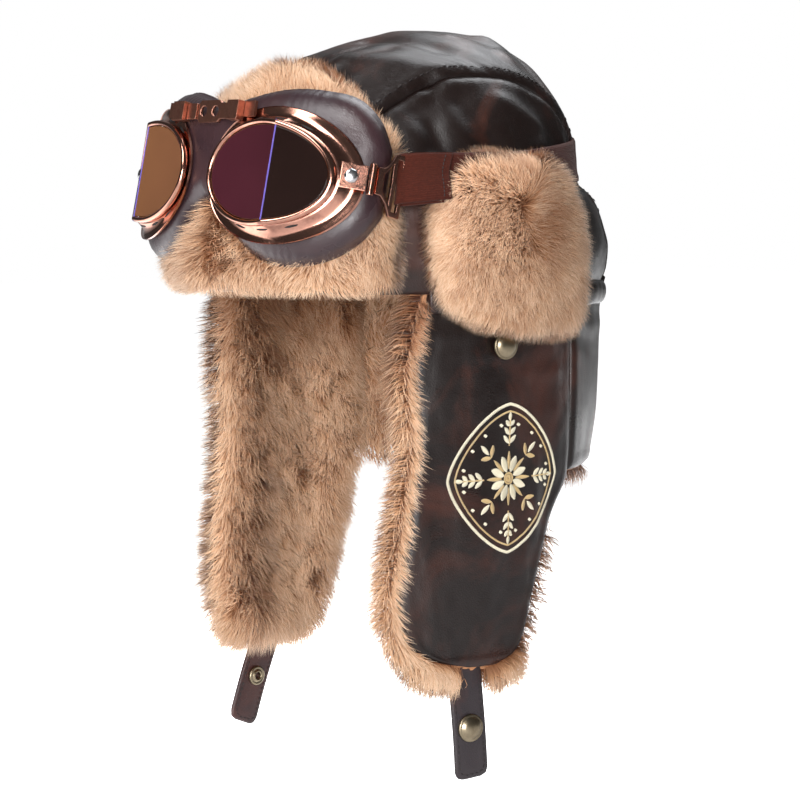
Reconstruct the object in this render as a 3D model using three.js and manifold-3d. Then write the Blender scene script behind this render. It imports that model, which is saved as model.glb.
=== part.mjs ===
// Leather flying helmet with fur lined flaps, a turned up fur visor and goggles on an elastic strap.
// Millimetres, +Z up, the wearer faces -Y and the wearer's left is +X.
// The origin is the middle of the head opening, at the lower edge of the crown.
import * as THREE from 'three';
import { mergeVertices } from 'three/addons/utils/BufferGeometryUtils.js';
import Module from 'manifold-3d';

const wasm = await Module();
wasm.setup();

// Leather shell
const crownHeight = 132;
const rimHalfWidth = 97;
const rimFront = 116;
const rimBack = 117.5;
const apexBack = 8;
const leatherWall = 2.2;
const pieceGap = 0.3;
const seatGap = 0.7;
const crownPanelHalfWidth = 54;
const crownPanelBulge = 14;
const crownPanelWidest = 20;
const foldWidth = 9;
const foldDepth = 3.2;

// Flaps that hang below the rim
const flapDrop = 185;
const neckDrop = 92;
const flapForward = 73;
const flapRearward = 38;
const hemBandHeight = 12;
const hemBandDepth = 2.8;

// Fur
const liningDepth = 26;
const liningPastFront = 13;
const liningPastHem = 10;
const liningPastRear = 13;
const liningFlare = 8;
const lockHeight = 3.5;
const visorDepth = 16;
const visorTop = 109;
const visorEndTop = 74;
const visorHalfTurn = 53;
const patchDepth = 17;
const patchTop = 63;
const patchForward = 57;
const patchRearward = 32;

// Goggles
const goggleRadius = 116;
const goggleHeight = 60;
const goggleLean = 12;
const furUnderGoggles = 7.3;
const cushionHalfArc = 91.1;
const cushionHalfHeight = 44;
const cushionDepth = 15.7;
const lensHalfWidth = 35;
const lensHalfHeight = 26;
const lensCentre = 45;
const lensDrop = 4.2;
const lensFold = 52.6;
const lensSetForward = 20;
const innerPaneSlope = 0.101;
const outerPaneSlope = 0.6825;
const rimWidth = 2.6;
const rimDepth = 3.6;
const paneThickness = 1.8;
const flangeHalfWidth = 39;
const flangeHalfHeight = 33;
const flangeCentre = 48;
const sheetMetal = 1.2;
const bridgeHeight = 25.5;
const bridgeLinkWidth = 19;
const bridgeLinkHeight = 11;
const bridgeClampCentre = 22;
const bridgeClampWidth = 9;
const bridgePlateWidth = 8;
const buckleLength = 19;
const buckleHeight = 30;
const buckleNeckHeight = 13;
const hingeBeforePad = 29.5;
const hingePlateLength = 13;
const hingeTurnOut = 35;
const hingePinDiameter = 3.6;
const buckleTurnIn = 9;
const hingePlateHeight = 12;
const rivetDiameter = 7.2;

// Elastic strap, chin straps and snaps
const strapWidth = 22;
const strapThickness = 1.8;
const strapTempleHeight = 51;
const strapRearHeight = 68.5;
const chinStrapWidth = 19;
const chinStrapLength = 57;
const chinSnapDown = 31;
const chinStrapThickness = 2.4;
const chinStrapPlaces = { left: 32, right: 23 };
const chinStrapTuck = 12;
const chinStrapLeans = { left: -5, right: 22 };
const snapDiameter = 14;
const snapHeight = 3.4;
const snapHole = 3.8;

// Rings of the shell as shares: up of crownHeight, down of flapDrop, side of rimHalfWidth,
// front of rimFront and back of rimBack
const skirtRings = [
  { down: 1.3, side: 0.91, front: 0.966, back: 0.62 },
  { down: 0.97, side: 0.93, front: 0.966, back: 0.71 },
  { down: 0.703, side: 0.955, front: 0.966, back: 0.785 },
  { down: 0.486, side: 0.966, front: 0.966, back: 0.865 },
  { down: 0.324, side: 0.975, front: 0.974, back: 0.915 },
  { down: 0.065, side: 0.975, front: 0.991, back: 0.925 },
];
const crownRings = [
  { up: 0, side: 0.98, front: 0.996, back: 0.93 },
  { up: 0.074, side: 0.993, front: 1, back: 0.958 },
  { up: 0.163, side: 0.995, front: 0.991, back: 0.965 },
  { up: 0.267, side: 0.974, front: 0.97, back: 0.927 },
  { up: 0.341, side: 0.954, front: 0.948, back: 0.878 },
  { up: 0.415, side: 0.914, front: 0.918, back: 0.782 },
  { up: 0.504, side: 0.89, front: 0.871, back: 0.766 },
  { up: 0.593, side: 0.866, front: 0.81, back: 0.756 },
  { up: 0.681, side: 0.81, front: 0.724, back: 0.72 },
  { up: 0.77, side: 0.735, front: 0.622, back: 0.667 },
  { up: 0.83, side: 0.66, front: 0.556, back: 0.62 },
  { up: 0.889, side: 0.56, front: 0.461, back: 0.55 },
  { up: 0.941, side: 0.436, front: 0.29, back: 0.46 },
  { up: 0.97, side: 0.32, front: 0.155, back: 0.375 },
  { up: 0.993, side: 0.144, front: 0.052, back: 0.22 },
];

// Soft folds of the crown, each along a line between two points. The points are shares of
// rimHalfWidth, rimBack and crownHeight, width of foldWidth and depth of foldDepth
const crownFolds = [
  { x0: 0.25, y0: -0.38, z0: 0.9, x1: 0.42, y1: 0.42, z1: 0.88, width: 1.0, depth: -0.9 },
  { x0: 0.1, y0: -0.1, z0: 0.98, x1: 0.36, y1: 0.62, z1: 0.72, width: 0.9, depth: -0.8 },
  { x0: -0.3, y0: -0.35, z0: 0.9, x1: -0.22, y1: 0.45, z1: 0.88, width: 1.1, depth: -0.9 },
  { x0: 0.66, y0: -0.42, z0: 0.72, x1: 0.88, y1: -0.28, z1: 0.5, width: 0.9, depth: -0.9 },
  { x0: 0.74, y0: -0.2, z0: 0.7, x1: 0.9, y1: -0.12, z1: 0.5, width: 0.8, depth: -0.8 },
  { x0: 0.72, y0: 0.2, z0: 0.7, x1: 0.82, y1: 0.34, z1: 0.56, width: 1.0, depth: -0.8 },
  { x0: -0.7, y0: -0.3, z0: 0.7, x1: -0.88, y1: -0.2, z1: 0.5, width: 1.0, depth: -0.9 },
  { x0: -0.7, y0: 0.24, z0: 0.7, x1: -0.82, y1: 0.36, z1: 0.54, width: 1.0, depth: -0.8 },
  { x0: 0.2, y0: 0.74, z0: 0.66, x1: 0.12, y1: 0.8, z1: 0.2, width: 1.1, depth: -0.7 },
  { x0: -0.24, y0: 0.74, z0: 0.66, x1: -0.2, y1: 0.82, z1: 0.22, width: 1.1, depth: -0.7 },
];

// Edges of an ear flap as shares: down of flapDrop, front of flapForward and rear of flapRearward
const flapRows = [
  { down: 0, front: 0.75, rear: 1 },
  { down: 0.05, front: 0.77, rear: 1 },
  { down: 0.12, front: 0.81, rear: 1 },
  { down: 0.21, front: 0.84, rear: 1 },
  { down: 0.3, front: 0.82, rear: 1 },
  { down: 0.4, front: 0.8, rear: 1 },
  { down: 0.497, front: 0.83, rear: 1 },
  { down: 0.6, front: 0.86, rear: 0.69 },
  { down: 0.7, front: 0.9, rear: 0.5 },
  { down: 0.805, front: 0.93, rear: 0.34 },
  { down: 0.89, front: 0.9, rear: 0.2 },
  { down: 0.945, front: 0.82, rear: 0.08 },
  { down: 0.98, front: 0.65, rear: -0.1 },
  { down: 1, front: 0.42, rear: -0.4 },
];

// Edges of an ear patch as shares: up of patchTop, front of patchForward, rear of patchRearward
const patchRows = [
  { up: -0.3, front: -0.05, rear: 0.78 },
  { up: -0.23, front: 0.24, rear: 0.93 },
  { up: -0.12, front: 0.7, rear: 1 },
  { up: 0.04, front: 0.9, rear: 1 },
  { up: 0.3, front: 0.97, rear: 0.98 },
  { up: 0.58, front: 0.95, rear: 0.91 },
  { up: 0.79, front: 0.86, rear: 0.76 },
  { up: 0.93, front: 0.66, rear: 0.5 },
  { up: 1, front: 0.4, rear: 0.2 },
];

// Edges of the goggle cushion as shares: turn of cushionHalfArc along the round front, top and
// bottom of cushionHalfHeight
const cushionRows = [
  { turn: 0, top: 0.7, bottom: -0.36 },
  { turn: 0.12, top: 0.75, bottom: -0.5 },
  { turn: 0.24, top: 0.82, bottom: -0.8 },
  { turn: 0.42, top: 0.89, bottom: -1 },
  { turn: 0.62, top: 0.9, bottom: -1 },
  { turn: 0.8, top: 0.84, bottom: -0.86 },
  { turn: 0.93, top: 0.62, bottom: -0.62 },
  { turn: 1, top: 0.34, bottom: -0.36 },
];

// Profile of an eyecup from its flange to the lens rim: inward and forward as shares of the way
const eyecupProfile = [
  { inward: 0, forward: 0 },
  { inward: 0.55, forward: 0.3 },
  { inward: 1, forward: 1 },
];

const degrees = Math.PI / 180;
const clamp = THREE.MathUtils.clamp;
const lerp = THREE.MathUtils.lerp;
const smooth = THREE.MathUtils.smoothstep;
const steps = (count) => Array.from({ length: count + 1 }, (_, i) => i / count);

function material(color, roughness, metalness = 0) {
  return new THREE.MeshStandardMaterial({ color, roughness, metalness });
}
const leather = material(0x2e201c, 0.45);
const fur = material(0xd9b48c, 0.95);
const cushionLeather = material(0x4c383e, 0.5);
const copper = material(0x96553c, 0.35, 1);
const steel = material(0xb9b9bd, 0.25, 1);
const brass = material(0x96876a, 0.4, 1);
const elastic = material(0x783a2a, 0.85);
const tintedGlass = material(0x3a1826, 0.08);

// A smooth curve through a table's rows: the value of one column where key is x
function tableValue(rows, key, x, column) {
  let i = 0;
  while (i < rows.length - 2 && x > rows[i + 1][key]) {
    i += 1;
  }
  const slope = (k) => {
    const a = rows[Math.max(k - 1, 0)];
    const b = rows[Math.min(k + 1, rows.length - 1)];
    return (b[column] - a[column]) / (b[key] - a[key]);
  };
  const span = rows[i + 1][key] - rows[i][key];
  const t = clamp((x - rows[i][key]) / span, 0, 1);
  const start = (1 + 2 * t) * (1 - t) ** 2 * rows[i][column] + t * t * (3 - 2 * t) * rows[i + 1][column];
  return start + (t * (1 - t) ** 2 * slope(i) + t * t * (t - 1) * slope(i + 1)) * span;
}

const shellRings = [
  ...skirtRings.map((row) => ({ ...row, z: -row.down * flapDrop })),
  ...crownRings.map((row) => ({ ...row, z: row.up * crownHeight })),
];

// The oval of the shell at a height: half width, half length and the middle's y
function ringAt(z) {
  const side = tableValue(shellRings, 'z', z, 'side') * rimHalfWidth;
  const front = tableValue(shellRings, 'z', z, 'front') * rimFront;
  const back = tableValue(shellRings, 'z', z, 'back') * rimBack;
  return { side, length: (front + back) / 2, middle: (back - front) / 2 };
}

// The shell's outward direction where turn is the angle from the back toward the left
function headNormal(turn, z) {
  const ring = ringAt(z);
  const low = ringAt(z - 0.5);
  const high = ringAt(z + 0.5);
  const sin = Math.sin(turn);
  const cos = Math.cos(turn);
  const riseY = high.middle - low.middle + (high.length - low.length) * cos;
  const riseX = (high.side - low.side) * sin;
  return new THREE.Vector3(
    ring.length * sin,
    ring.side * cos,
    -(ring.side * cos * riseY + ring.length * sin * riseX),
  ).normalize();
}

// A point on the leather's outer face, or out millimetres off it
function headPoint(turn, z, out = 0) {
  const ring = ringAt(z);
  const point = new THREE.Vector3(
    ring.side * Math.sin(turn),
    ring.middle + ring.length * Math.cos(turn),
    z,
  );
  return point.addScaledVector(headNormal(turn, z), out);
}

// The same point moved off the leather on the level, so that its height stays z
function levelPoint(turn, z, out) {
  const across = headNormal(turn, z).setZ(0).normalize();
  return headPoint(turn, z).addScaledVector(across, out);
}

// The turn on the left side where the shell passes a given y
function turnAt(y, z) {
  const ring = ringAt(z);
  return Math.acos(clamp((y - ring.middle) / ring.length, -1, 1));
}

// How far the crown's folds push a point of it outward
function foldAt(point) {
  const size = new THREE.Vector3(rimHalfWidth, rimBack, crownHeight);
  return crownFolds.reduce((sum, row) => {
    const from = new THREE.Vector3(row.x0, row.y0, row.z0).multiply(size);
    const to = new THREE.Vector3(row.x1, row.y1, row.z1).multiply(size);
    const near = new THREE.Line3(from, to).closestPointToPoint(point, true, new THREE.Vector3());
    const away = near.distanceTo(point) / (row.width * foldWidth);
    return sum + row.depth * foldDepth * Math.exp(-away * away);
  }, 0);
}

// A closed mesh from points and triangles, turned so that its faces look outward
function solid(points, triangles) {
  const geometry = new THREE.BufferGeometry();
  const volume = triangles.reduce((sum, [a, b, c]) => {
    const cross = new THREE.Vector3().crossVectors(points[b], points[c]);
    return sum + points[a].dot(cross);
  }, 0);
  const turned = volume < 0 ? triangles.map(([a, b, c]) => [a, c, b]) : triangles;
  const numbers = points.flatMap((p) => p.toArray());
  geometry.setAttribute('position', new THREE.Float32BufferAttribute(numbers, 3));
  geometry.setIndex(turned.flat());
  return geometry;
}

function quad(a, b, c, d) {
  return [[a, b, c], [a, c, d]];
}

// A wall between two grids of the same size, with its four edges closed
function wall(outer, inner) {
  const rows = outer.length;
  const columns = outer[0].length;
  const points = [...outer.flat(), ...inner.flat()];
  const out = (r, c) => r * columns + c;
  const back = (r, c) => rows * columns + out(r, c);
  const triangles = [];
  for (let r = 0; r < rows - 1; r += 1) {
    for (let c = 0; c < columns - 1; c += 1) {
      triangles.push(...quad(out(r, c), out(r, c + 1), out(r + 1, c + 1), out(r + 1, c)));
      triangles.push(...quad(back(r, c), back(r + 1, c), back(r + 1, c + 1), back(r, c + 1)));
    }
    triangles.push(...quad(out(r, 0), out(r + 1, 0), back(r + 1, 0), back(r, 0)));
    const last = columns - 1;
    triangles.push(...quad(out(r, last), back(r, last), back(r + 1, last), out(r + 1, last)));
  }
  for (let c = 0; c < columns - 1; c += 1) {
    triangles.push(...quad(out(0, c), back(0, c), back(0, c + 1), out(0, c + 1)));
    const end = rows - 1;
    triangles.push(...quad(out(end, c), out(end, c + 1), back(end, c + 1), back(end, c)));
  }
  return solid(points, triangles);
}

// Closed loops joined in order, with a fan from a point at each end, or end to end as a ring
function loft(loops, start = null, end = null) {
  const count = loops[0].length;
  const points = loops.flat();
  const at = (k, i) => (k % loops.length) * count + (i % count);
  const triangles = [];
  const bands = start ? loops.length - 1 : loops.length;
  for (let k = 0; k < bands; k += 1) {
    for (let i = 0; i < count; i += 1) {
      triangles.push(...quad(at(k, i), at(k, i + 1), at(k + 1, i + 1), at(k + 1, i)));
    }
  }
  if (start) {
    points.push(start, end);
    for (let i = 0; i < count; i += 1) {
      triangles.push([points.length - 2, at(0, i + 1), at(0, i)]);
      triangles.push([points.length - 1, at(loops.length - 1, i), at(loops.length - 1, i + 1)]);
    }
  }
  return solid(points, triangles);
}

function centreOf(loop) {
  return loop.reduce((sum, p) => sum.add(p), new THREE.Vector3()).divideScalar(loop.length);
}

function mirrored(geometry) {
  const copy = geometry.clone().scale(-1, 1, 1);
  const count = copy.attributes.position.count;
  const index = copy.index ? Array.from(copy.index.array) : Array.from({ length: count }, (_, i) => i);
  copy.setIndex(index.map((_, i) => index[i - (i % 3) + ((3 - (i % 3)) % 3)]));
  return copy;
}

function toManifold(geometry) {
  return new wasm.Manifold(new wasm.Mesh({
    numProp: 3,
    vertProperties: new Float32Array(geometry.attributes.position.array),
    triVerts: new Uint32Array(geometry.index.array),
  }));
}

// A boxy three.js geometry, whose faces don't share points, as a manifold
function asManifold(geometry) {
  const bare = geometry.clone();
  bare.deleteAttribute('uv');
  bare.deleteAttribute('normal');
  return toManifold(mergeVertices(bare));
}

function fromManifold(body) {
  const mesh = body.getMesh();
  const geometry = new THREE.BufferGeometry();
  const numbers = Array.from(mesh.vertProperties);
  geometry.setAttribute('position', new THREE.Float32BufferAttribute(numbers, 3));
  geometry.setIndex(Array.from(mesh.triVerts));
  return geometry;
}

function addMesh(parent, name, geometry, surface) {
  const mesh = new THREE.Mesh(geometry, surface);
  mesh.name = name;
  parent.add(mesh);
  return mesh;
}

// A left piece and its mirror image on the right
function addPair(parent, name, geometry, surface) {
  addMesh(parent, `${name}_left`, geometry, surface);
  addMesh(parent, `${name}_right`, mirrored(geometry), surface);
}

// Half the crown's middle panel, as an outline seen from above
function crownPanelEdge(y) {
  const along = clamp((y - crownPanelWidest) / (rimBack - 7.5), -1, 1);
  return crownPanelHalfWidth + crownPanelBulge * Math.cos(along * 90 * degrees) ** 2;
}

function crownPanelCutter(grow) {
  const reach = rimBack * 1.3;
  const ys = steps(16).map((t) => lerp(-reach, reach, t));
  const left = ys.map((y) => [crownPanelEdge(y) + grow, y]);
  const right = ys.map((y) => [-crownPanelEdge(y) - grow, y]).reverse();
  return wasm.Manifold.extrude([[...left, ...right]], crownHeight * 1.4).translate([0, 0, -10]);
}

function crownShell() {
  const turns = steps(36).slice(0, -1).map((t) => t * 360 * degrees);
  const heights = crownRings.map((row) => row.up * crownHeight).reverse();
  const loop = (z, out) => turns.map((turn) => headPoint(turn, z, out + foldAt(headPoint(turn, z))));
  const apex = new THREE.Vector3(0, apexBack, crownHeight);
  const innerApex = apex.clone().setZ(crownHeight - leatherWall);
  const outer = heights.map((z) => loop(z, 0));
  const inner = [...heights].reverse().map((z) => loop(z, -leatherWall));
  inner[0] = turns.map((turn) => levelPoint(turn, 0, -leatherWall));
  return toManifold(loft([...outer, ...inner], apex, innerApex));
}

function addCrown(parent) {
  const shell = crownShell();
  const side = shell.subtract(crownPanelCutter(pieceGap / 2));
  const leftHalf = wasm.Manifold.cube([300, 400, 300]).translate([0, -200, -50]);
  const centre = shell.intersect(crownPanelCutter(-pieceGap / 2));
  addMesh(parent, 'crown_centre', fromManifold(centre), leather);
  addMesh(parent, 'crown_side_left', fromManifold(side.intersect(leftHalf)), leather);
  addMesh(parent, 'crown_side_right', fromManifold(side.subtract(leftHalf)), leather);
}

// The band that covers the seam between crown and flaps, half round in section
function addHemBand(parent) {
  const end = turnAt(-flapForward * flapRows[0].front, 0);
  const section = steps(4).map((t) => t * 180 * degrees);
  const loops = steps(28).map((t) => {
    const turn = lerp(-end, end, t);
    return section.map((a) => {
      const out = seatGap + hemBandDepth * Math.sin(a);
      return headPoint(turn, -3 + hemBandHeight / 2 * Math.cos(a), out);
    });
  });
  addMesh(parent, 'crown_hem_band', loft(loops, centreOf(loops[0]), centreOf(loops.at(-1))), leather);
}

function flapWall(rows, out) {
  return rows.map((row) => steps(7).map((t) => {
    return levelPoint(turnAt(lerp(row.front, row.rear, t), row.z), row.z, out);
  }));
}

function addFlaps(parent) {
  const rows = flapRows.map((row) => ({
    z: -row.down * flapDrop - pieceGap,
    front: -row.front * flapForward,
    rear: row.rear * flapRearward - pieceGap / 2,
  }));
  addPair(parent, 'ear_flap', wall(flapWall(rows, 0), flapWall(rows, -leatherWall)), leather);
}

// Turn of the seam between an ear flap and the neck flap, which lies in one upright plane
function neckSeamTurn(z, grow) {
  return turnAt(flapRearward + grow, z);
}

function addNeckFlap(parent) {
  const grid = (out) => steps(6).map((v) => {
    const z = lerp(-pieceGap, -neckDrop, v ** 1.4);
    const end = neckSeamTurn(z, pieceGap / 2);
    return steps(20).map((u) => levelPoint(lerp(end, -end, u), z, out));
  });
  addMesh(parent, 'neck_flap', wall(grid(0), grid(-leatherWall)), leather);
}

// A rounded edge: 0 at the edge itself, 1 from reach inward
function rounded(fromEdge, reach) {
  const t = clamp(fromEdge / reach, 0, 1);
  return Math.sqrt(1 - (1 - t) ** 2);
}

// Locks of fur: ridges that run down the rows and shift from row to row
function lockAt(row, column) {
  const ridge = Math.abs(((column + 0.5 * Math.sin(row * 1.9)) % 2) - 1);
  return lockHeight * (ridge - 0.5) * (0.7 + 0.3 * Math.cos(row * 2.3 + column));
}

// Depth of a fur pad in its grid, thin at the edges and ridged by its locks
function furDepth(depth, row, column, rows, columns) {
  const u = Math.min(column, columns - column) / columns;
  const v = Math.min(row, rows - row) / rows;
  const swell = rounded(u, 0.16) * rounded(v, 0.1);
  const full = depth * (0.4 + 0.6 * swell);
  return full + lockAt(row, column) * swell;
}

function addFlapLinings(parent) {
  const rows = 13;
  const columns = 8;
  const furDrop = flapDrop + liningPastHem;
  const flare = smooth;
  const grid = (thick) => steps(rows).map((v, r) => {
    const z = -furDrop * v - pieceGap;
    const share = tableValue(flapRows, 'down', v, 'front');
    const rearShare = tableValue(flapRows, 'down', v, 'rear');
    const front = -share * flapForward - liningPastFront * flare(1 - v, 0, 0.12);
    const free = flare(-z, neckDrop + liningPastHem + 1, neckDrop + 30);
    const rear = Math.min(rearShare * flapRearward, flapRearward) + liningPastRear * free - pieceGap / 2;
    return steps(columns).map((u, c) => {
      const spread = thick ? liningFlare * (u < 0.5 ? -((1 - 2 * u) ** 3) : free * (2 * u - 1) ** 3) : 0;
      const out = -leatherWall - seatGap - (thick ? furDepth(liningDepth, r, c, rows, columns) : 0);
      return levelPoint(turnAt(lerp(front, rear, u) + spread, z), z, out);
    });
  });
  const left = wall(grid(false), grid(true));
  const bodies = { left, right: mirrored(left) };
  Object.entries(bodies).forEach(([side, body]) => {
    const cut = toManifold(body).subtract(chinStrapPocket(side));
    addMesh(parent, `flap_lining_${side}`, fromManifold(cut), fur);
  });
}

function addNeckLining(parent) {
  const rows = 7;
  const columns = 20;
  const grid = (thick) => steps(rows).map((v, r) => {
    const z = lerp(-pieceGap, -neckDrop - liningPastHem, v);
    const end = neckSeamTurn(z, pieceGap / 2);
    return steps(columns).map((u, c) => {
      const swell = 0.3 + 0.7 * rounded(Math.min(v, 1 - v), 0.25);
      const lock = lockAt(r, c) * rounded(Math.min(u, 1 - u), 0.1) * rounded(Math.min(v, 1 - v), 0.2);
      const out = -leatherWall - seatGap - (thick ? liningDepth * 0.85 * swell + lock : 0);
      return levelPoint(lerp(end, -end, u), z, out);
    });
  });
  addMesh(parent, 'neck_lining', wall(grid(false), grid(true)), fur);
}

function addVisor(parent) {
  const rows = 7;
  const columns = 20;
  const half = visorHalfTurn * degrees;
  const grid = (thick) => steps(rows).map((v, r) => steps(columns).map((u, c) => {
    const across = 2 * u - 1;
    const top = lerp(visorTop, visorEndTop, Math.abs(across) ** 2.2);
    const z = lerp(1.5, top, v);
    const out = 1.3 * seatGap + (thick ? furDepth(visorDepth, r, c, rows, columns) : 0);
    return headPoint(Math.PI + across * half, z, out);
  }));
  const seat = goggleFrame();
  const cutter = toManifold(cushionPad(seatGap, 45, -seatGap).applyMatrix4(seat));
  const body = toManifold(wall(grid(true), grid(false))).subtract(cutter);
  const cleared = body.subtract(templeRoom()).subtract(strapCutter());
  addMesh(parent, 'fur_visor', fromManifold(cleared), fur);
}

function addEarPatches(parent) {
  const rows = patchRows.length - 1;
  const columns = 10;
  const grid = (thick) => patchRows.map((row, r) => {
    const z = row.up * patchTop;
    return steps(columns).map((u, c) => {
      const y = lerp(-row.front * patchForward, row.rear * patchRearward, u);
      const lift = hemBandDepth + 2 * seatGap;
      const out = lift + (thick ? furDepth(patchDepth - hemBandDepth, r, c, rows, columns) : 0);
      return headPoint(turnAt(y, z), z, out);
    });
  });
  const body = toManifold(wall(grid(true), grid(false))).subtract(strapCutter());
  addPair(parent, 'ear_patch', fromManifold(body), fur);
}

// The goggles' own frame: x to the left, y backward from the cushion's back, z up the lenses
function goggleFrame() {
  const seat = ringAt(goggleHeight);
  const y = seat.middle - seat.length - furUnderGoggles;
  const frame = new THREE.Matrix4().makeRotationX(-goggleLean * degrees);
  return frame.setPosition(0, y, goggleHeight);
}

// A point of the goggles' round front, off millimetres before the cushion's back
function goggleArc(turn, height, off) {
  const radius = goggleRadius + off;
  return new THREE.Vector3(radius * Math.sin(turn), goggleRadius - radius * Math.cos(turn), height);
}

function goggleArcY(x, off) {
  return goggleRadius - Math.sqrt((goggleRadius + off) ** 2 - x * x);
}

// The cushion's body, grown all round by grow and reaching from back to front
function cushionPad(grow, front, back) {
  const columns = 24;
  const rows = 6;
  const soft = front < goggleRadius / 4;
  const grid = (face) => steps(rows).map((v) => steps(columns).map((u) => {
    const across = 2 * u - 1;
    const top = tableValue(cushionRows, 'turn', Math.abs(across), 'top') * cushionHalfHeight + grow;
    const low = tableValue(cushionRows, 'turn', Math.abs(across), 'bottom');
    const bottom = low * cushionHalfHeight - grow;
    const edge = rounded(Math.min(v, 1 - v), 0.22) * rounded(1 - Math.abs(across), 0.14);
    const swell = soft ? lerp(0.32, 1, edge) : 1;
    const reach = (cushionHalfArc + grow) / goggleRadius;
    return goggleArc(across * reach, lerp(bottom, top, v), face ? front * swell : back);
  }));
  return wall(grid(true), grid(false));
}

// The lens outline, grow millimetres outside the rim, as x and height
function lensOutline(grow, count = 24) {
  return steps(count).slice(0, -1).map((t) => {
    const a = t * 360 * degrees;
    return {
      x: lensCentre + (lensHalfWidth + grow) * Math.cos(a),
      h: -lensDrop + (lensHalfHeight + grow) * Math.sin(a),
    };
  });
}

// The lens front seen from above: two flat panes that meet at the fold
function lensY(x) {
  const atFold = -lensSetForward + innerPaneSlope * (lensFold - lensCentre + lensHalfWidth);
  return atFold + (x < lensFold ? innerPaneSlope : outerPaneSlope) * (x - lensFold);
}

function lensLoop(grow, back) {
  return lensOutline(grow).map(({ x, h }) => new THREE.Vector3(x, lensY(x) + back, h));
}

function flangeLoop(grow, forward) {
  return steps(24).slice(0, -1).map((t) => {
    const a = t * 360 * degrees;
    const x = flangeCentre + (flangeHalfWidth + grow) * Math.cos(a);
    const h = -lensDrop + (flangeHalfHeight + grow) * Math.sin(a);
    return new THREE.Vector3(x, goggleArcY(x, cushionDepth + seatGap) - forward, h);
  });
}

function eyecup(grow = 0) {
  const footBack = rimDepth - 1 + pieceGap - grow;
  const flange = (grow, forward) => flangeLoop(grow, forward);
  const skin = (grow, forward) => eyecupProfile.map((row) => {
    const low = flange(grow, forward);
    const high = lensLoop(grow, footBack);
    return low.map((p, i) => new THREE.Vector3(
      lerp(p.x, high[i].x, row.inward),
      lerp(p.y, high[i].y, row.forward),
      lerp(p.z, high[i].z, row.inward),
    ));
  });
  const outside = skin(grow, sheetMetal + grow);
  const inside = skin(-sheetMetal * 1.4 - grow, -grow).reverse();
  return loft([...outside, ...inside]);
}

function lensRim() {
  const front = -1;
  const back = rimDepth - 1;
  return loft([
    lensLoop(0, front + 0.5),
    lensLoop(0, back),
    lensLoop(-rimWidth, back),
    lensLoop(-rimWidth, front),
    lensLoop(-0.6, front),
  ]);
}

// One flat pane: the arc of the outline on its side of the fold, held in the rim
function pane(inner) {
  const edge = lensFold + (inner ? -pieceGap / 2 : pieceGap / 2);
  const reachX = lensHalfWidth - rimWidth - pieceGap;
  const reachH = lensHalfHeight - rimWidth - pieceGap;
  const cut = Math.acos((edge - lensCentre) / reachX);
  const [from, to] = inner ? [cut, 360 * degrees - cut] : [-cut, cut];
  const loop = (back) => steps(18).map((t) => {
    const a = lerp(from, to, t);
    const x = lensCentre + reachX * Math.cos(a);
    return new THREE.Vector3(x, lensY(x) + back, -lensDrop + reachH * Math.sin(a));
  });
  const front = loop(0.2);
  const back = loop(0.2 + paneThickness);
  return loft([front, back], centreOf(front), centreOf(back));
}

function box(width, depth, height, x, y, z) {
  return new THREE.BoxGeometry(width, depth, height).translate(x, y, z);
}

// A flat plate with holes, drawn in its plane and extruded along its thickness
function holedPlate(outline, holes, thickness) {
  const shape = new THREE.Shape(outline.map(([x, y]) => new THREE.Vector2(x, y)));
  holes.forEach((hole) => {
    shape.holes.push(new THREE.Path(hole.map(([x, y]) => new THREE.Vector2(x, y))));
  });
  return new THREE.ExtrudeGeometry(shape, { depth: thickness, bevelEnabled: false });
}

function circle(x, y, radius, count) {
  return steps(count).slice(0, -1).map((t) => [
    x + radius * Math.cos(t * 360 * degrees),
    y + radius * Math.sin(t * 360 * degrees),
  ]);
}

// The bridge over the nose: a holed link between two bars, a clamp at each side and a riveted
// plate outside each clamp
function addBridge(parent) {
  const sheet = 1.6;
  const tall = bridgeLinkHeight / 2;
  const half = bridgeLinkWidth / 2;
  const y = -cushionDepth - pieceGap;
  const outline = [
    [-half, -tall * 0.7], [-half * 0.8, -tall], [half * 0.8, -tall], [half, -tall * 0.7],
    [half, tall * 0.7], [half * 0.8, tall], [-half * 0.8, tall], [-half, tall * 0.7],
  ];
  const holes = [-0.5, 0.5].map((side) => circle(side * half, 0, tall * 0.48, 10));
  const link = holedPlate(outline, holes, sheet).rotateX(90 * degrees).translate(0, y, bridgeHeight);
  addMesh(parent, 'bridge_link', link, copper);
  const clampStart = half + pieceGap;
  const wingWidth = bridgeClampCentre - bridgeClampWidth / 2 - clampStart;
  const wingTall = bridgeLinkHeight * 0.72;
  const wing = box(wingWidth, sheet, wingTall, clampStart + wingWidth / 2, 0, bridgeHeight);
  const clampBox = box(
    bridgeClampWidth, sheet * 3, bridgeLinkHeight * 0.86,
    bridgeClampCentre + pieceGap, 0, bridgeHeight,
  );
  const plateStart = bridgeClampCentre + bridgeClampWidth / 2 + 2 * pieceGap;
  const plateHigh = bridgeHeight + bridgeLinkHeight * 0.1;
  const plate = box(
    bridgePlateWidth, sheet, bridgeLinkHeight * 0.7,
    plateStart + bridgePlateWidth / 2, 0, plateHigh,
  );
  const seat = (geometry, x, depth) => {
    return geometry.translate(0, goggleArcY(x, cushionDepth + 2 * seatGap) - depth / 2, 0);
  };
  const before = toManifold(eyecup(4 * pieceGap)).add(toManifold(eyecup(pieceGap)));
  const cleared = (geometry) => fromManifold(asManifold(geometry).subtract(before));
  addPair(parent, 'bridge_wing', seat(wing, clampStart, sheet), copper);
  addPair(parent, 'bridge_clamp', cleared(seat(clampBox, bridgeClampCentre - 3, sheet * 3)), copper);
  const forward = sheet + 4 * pieceGap;
  addPair(parent, 'bridge_plate', cleared(seat(plate, plateStart, forward)), copper);
}

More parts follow.
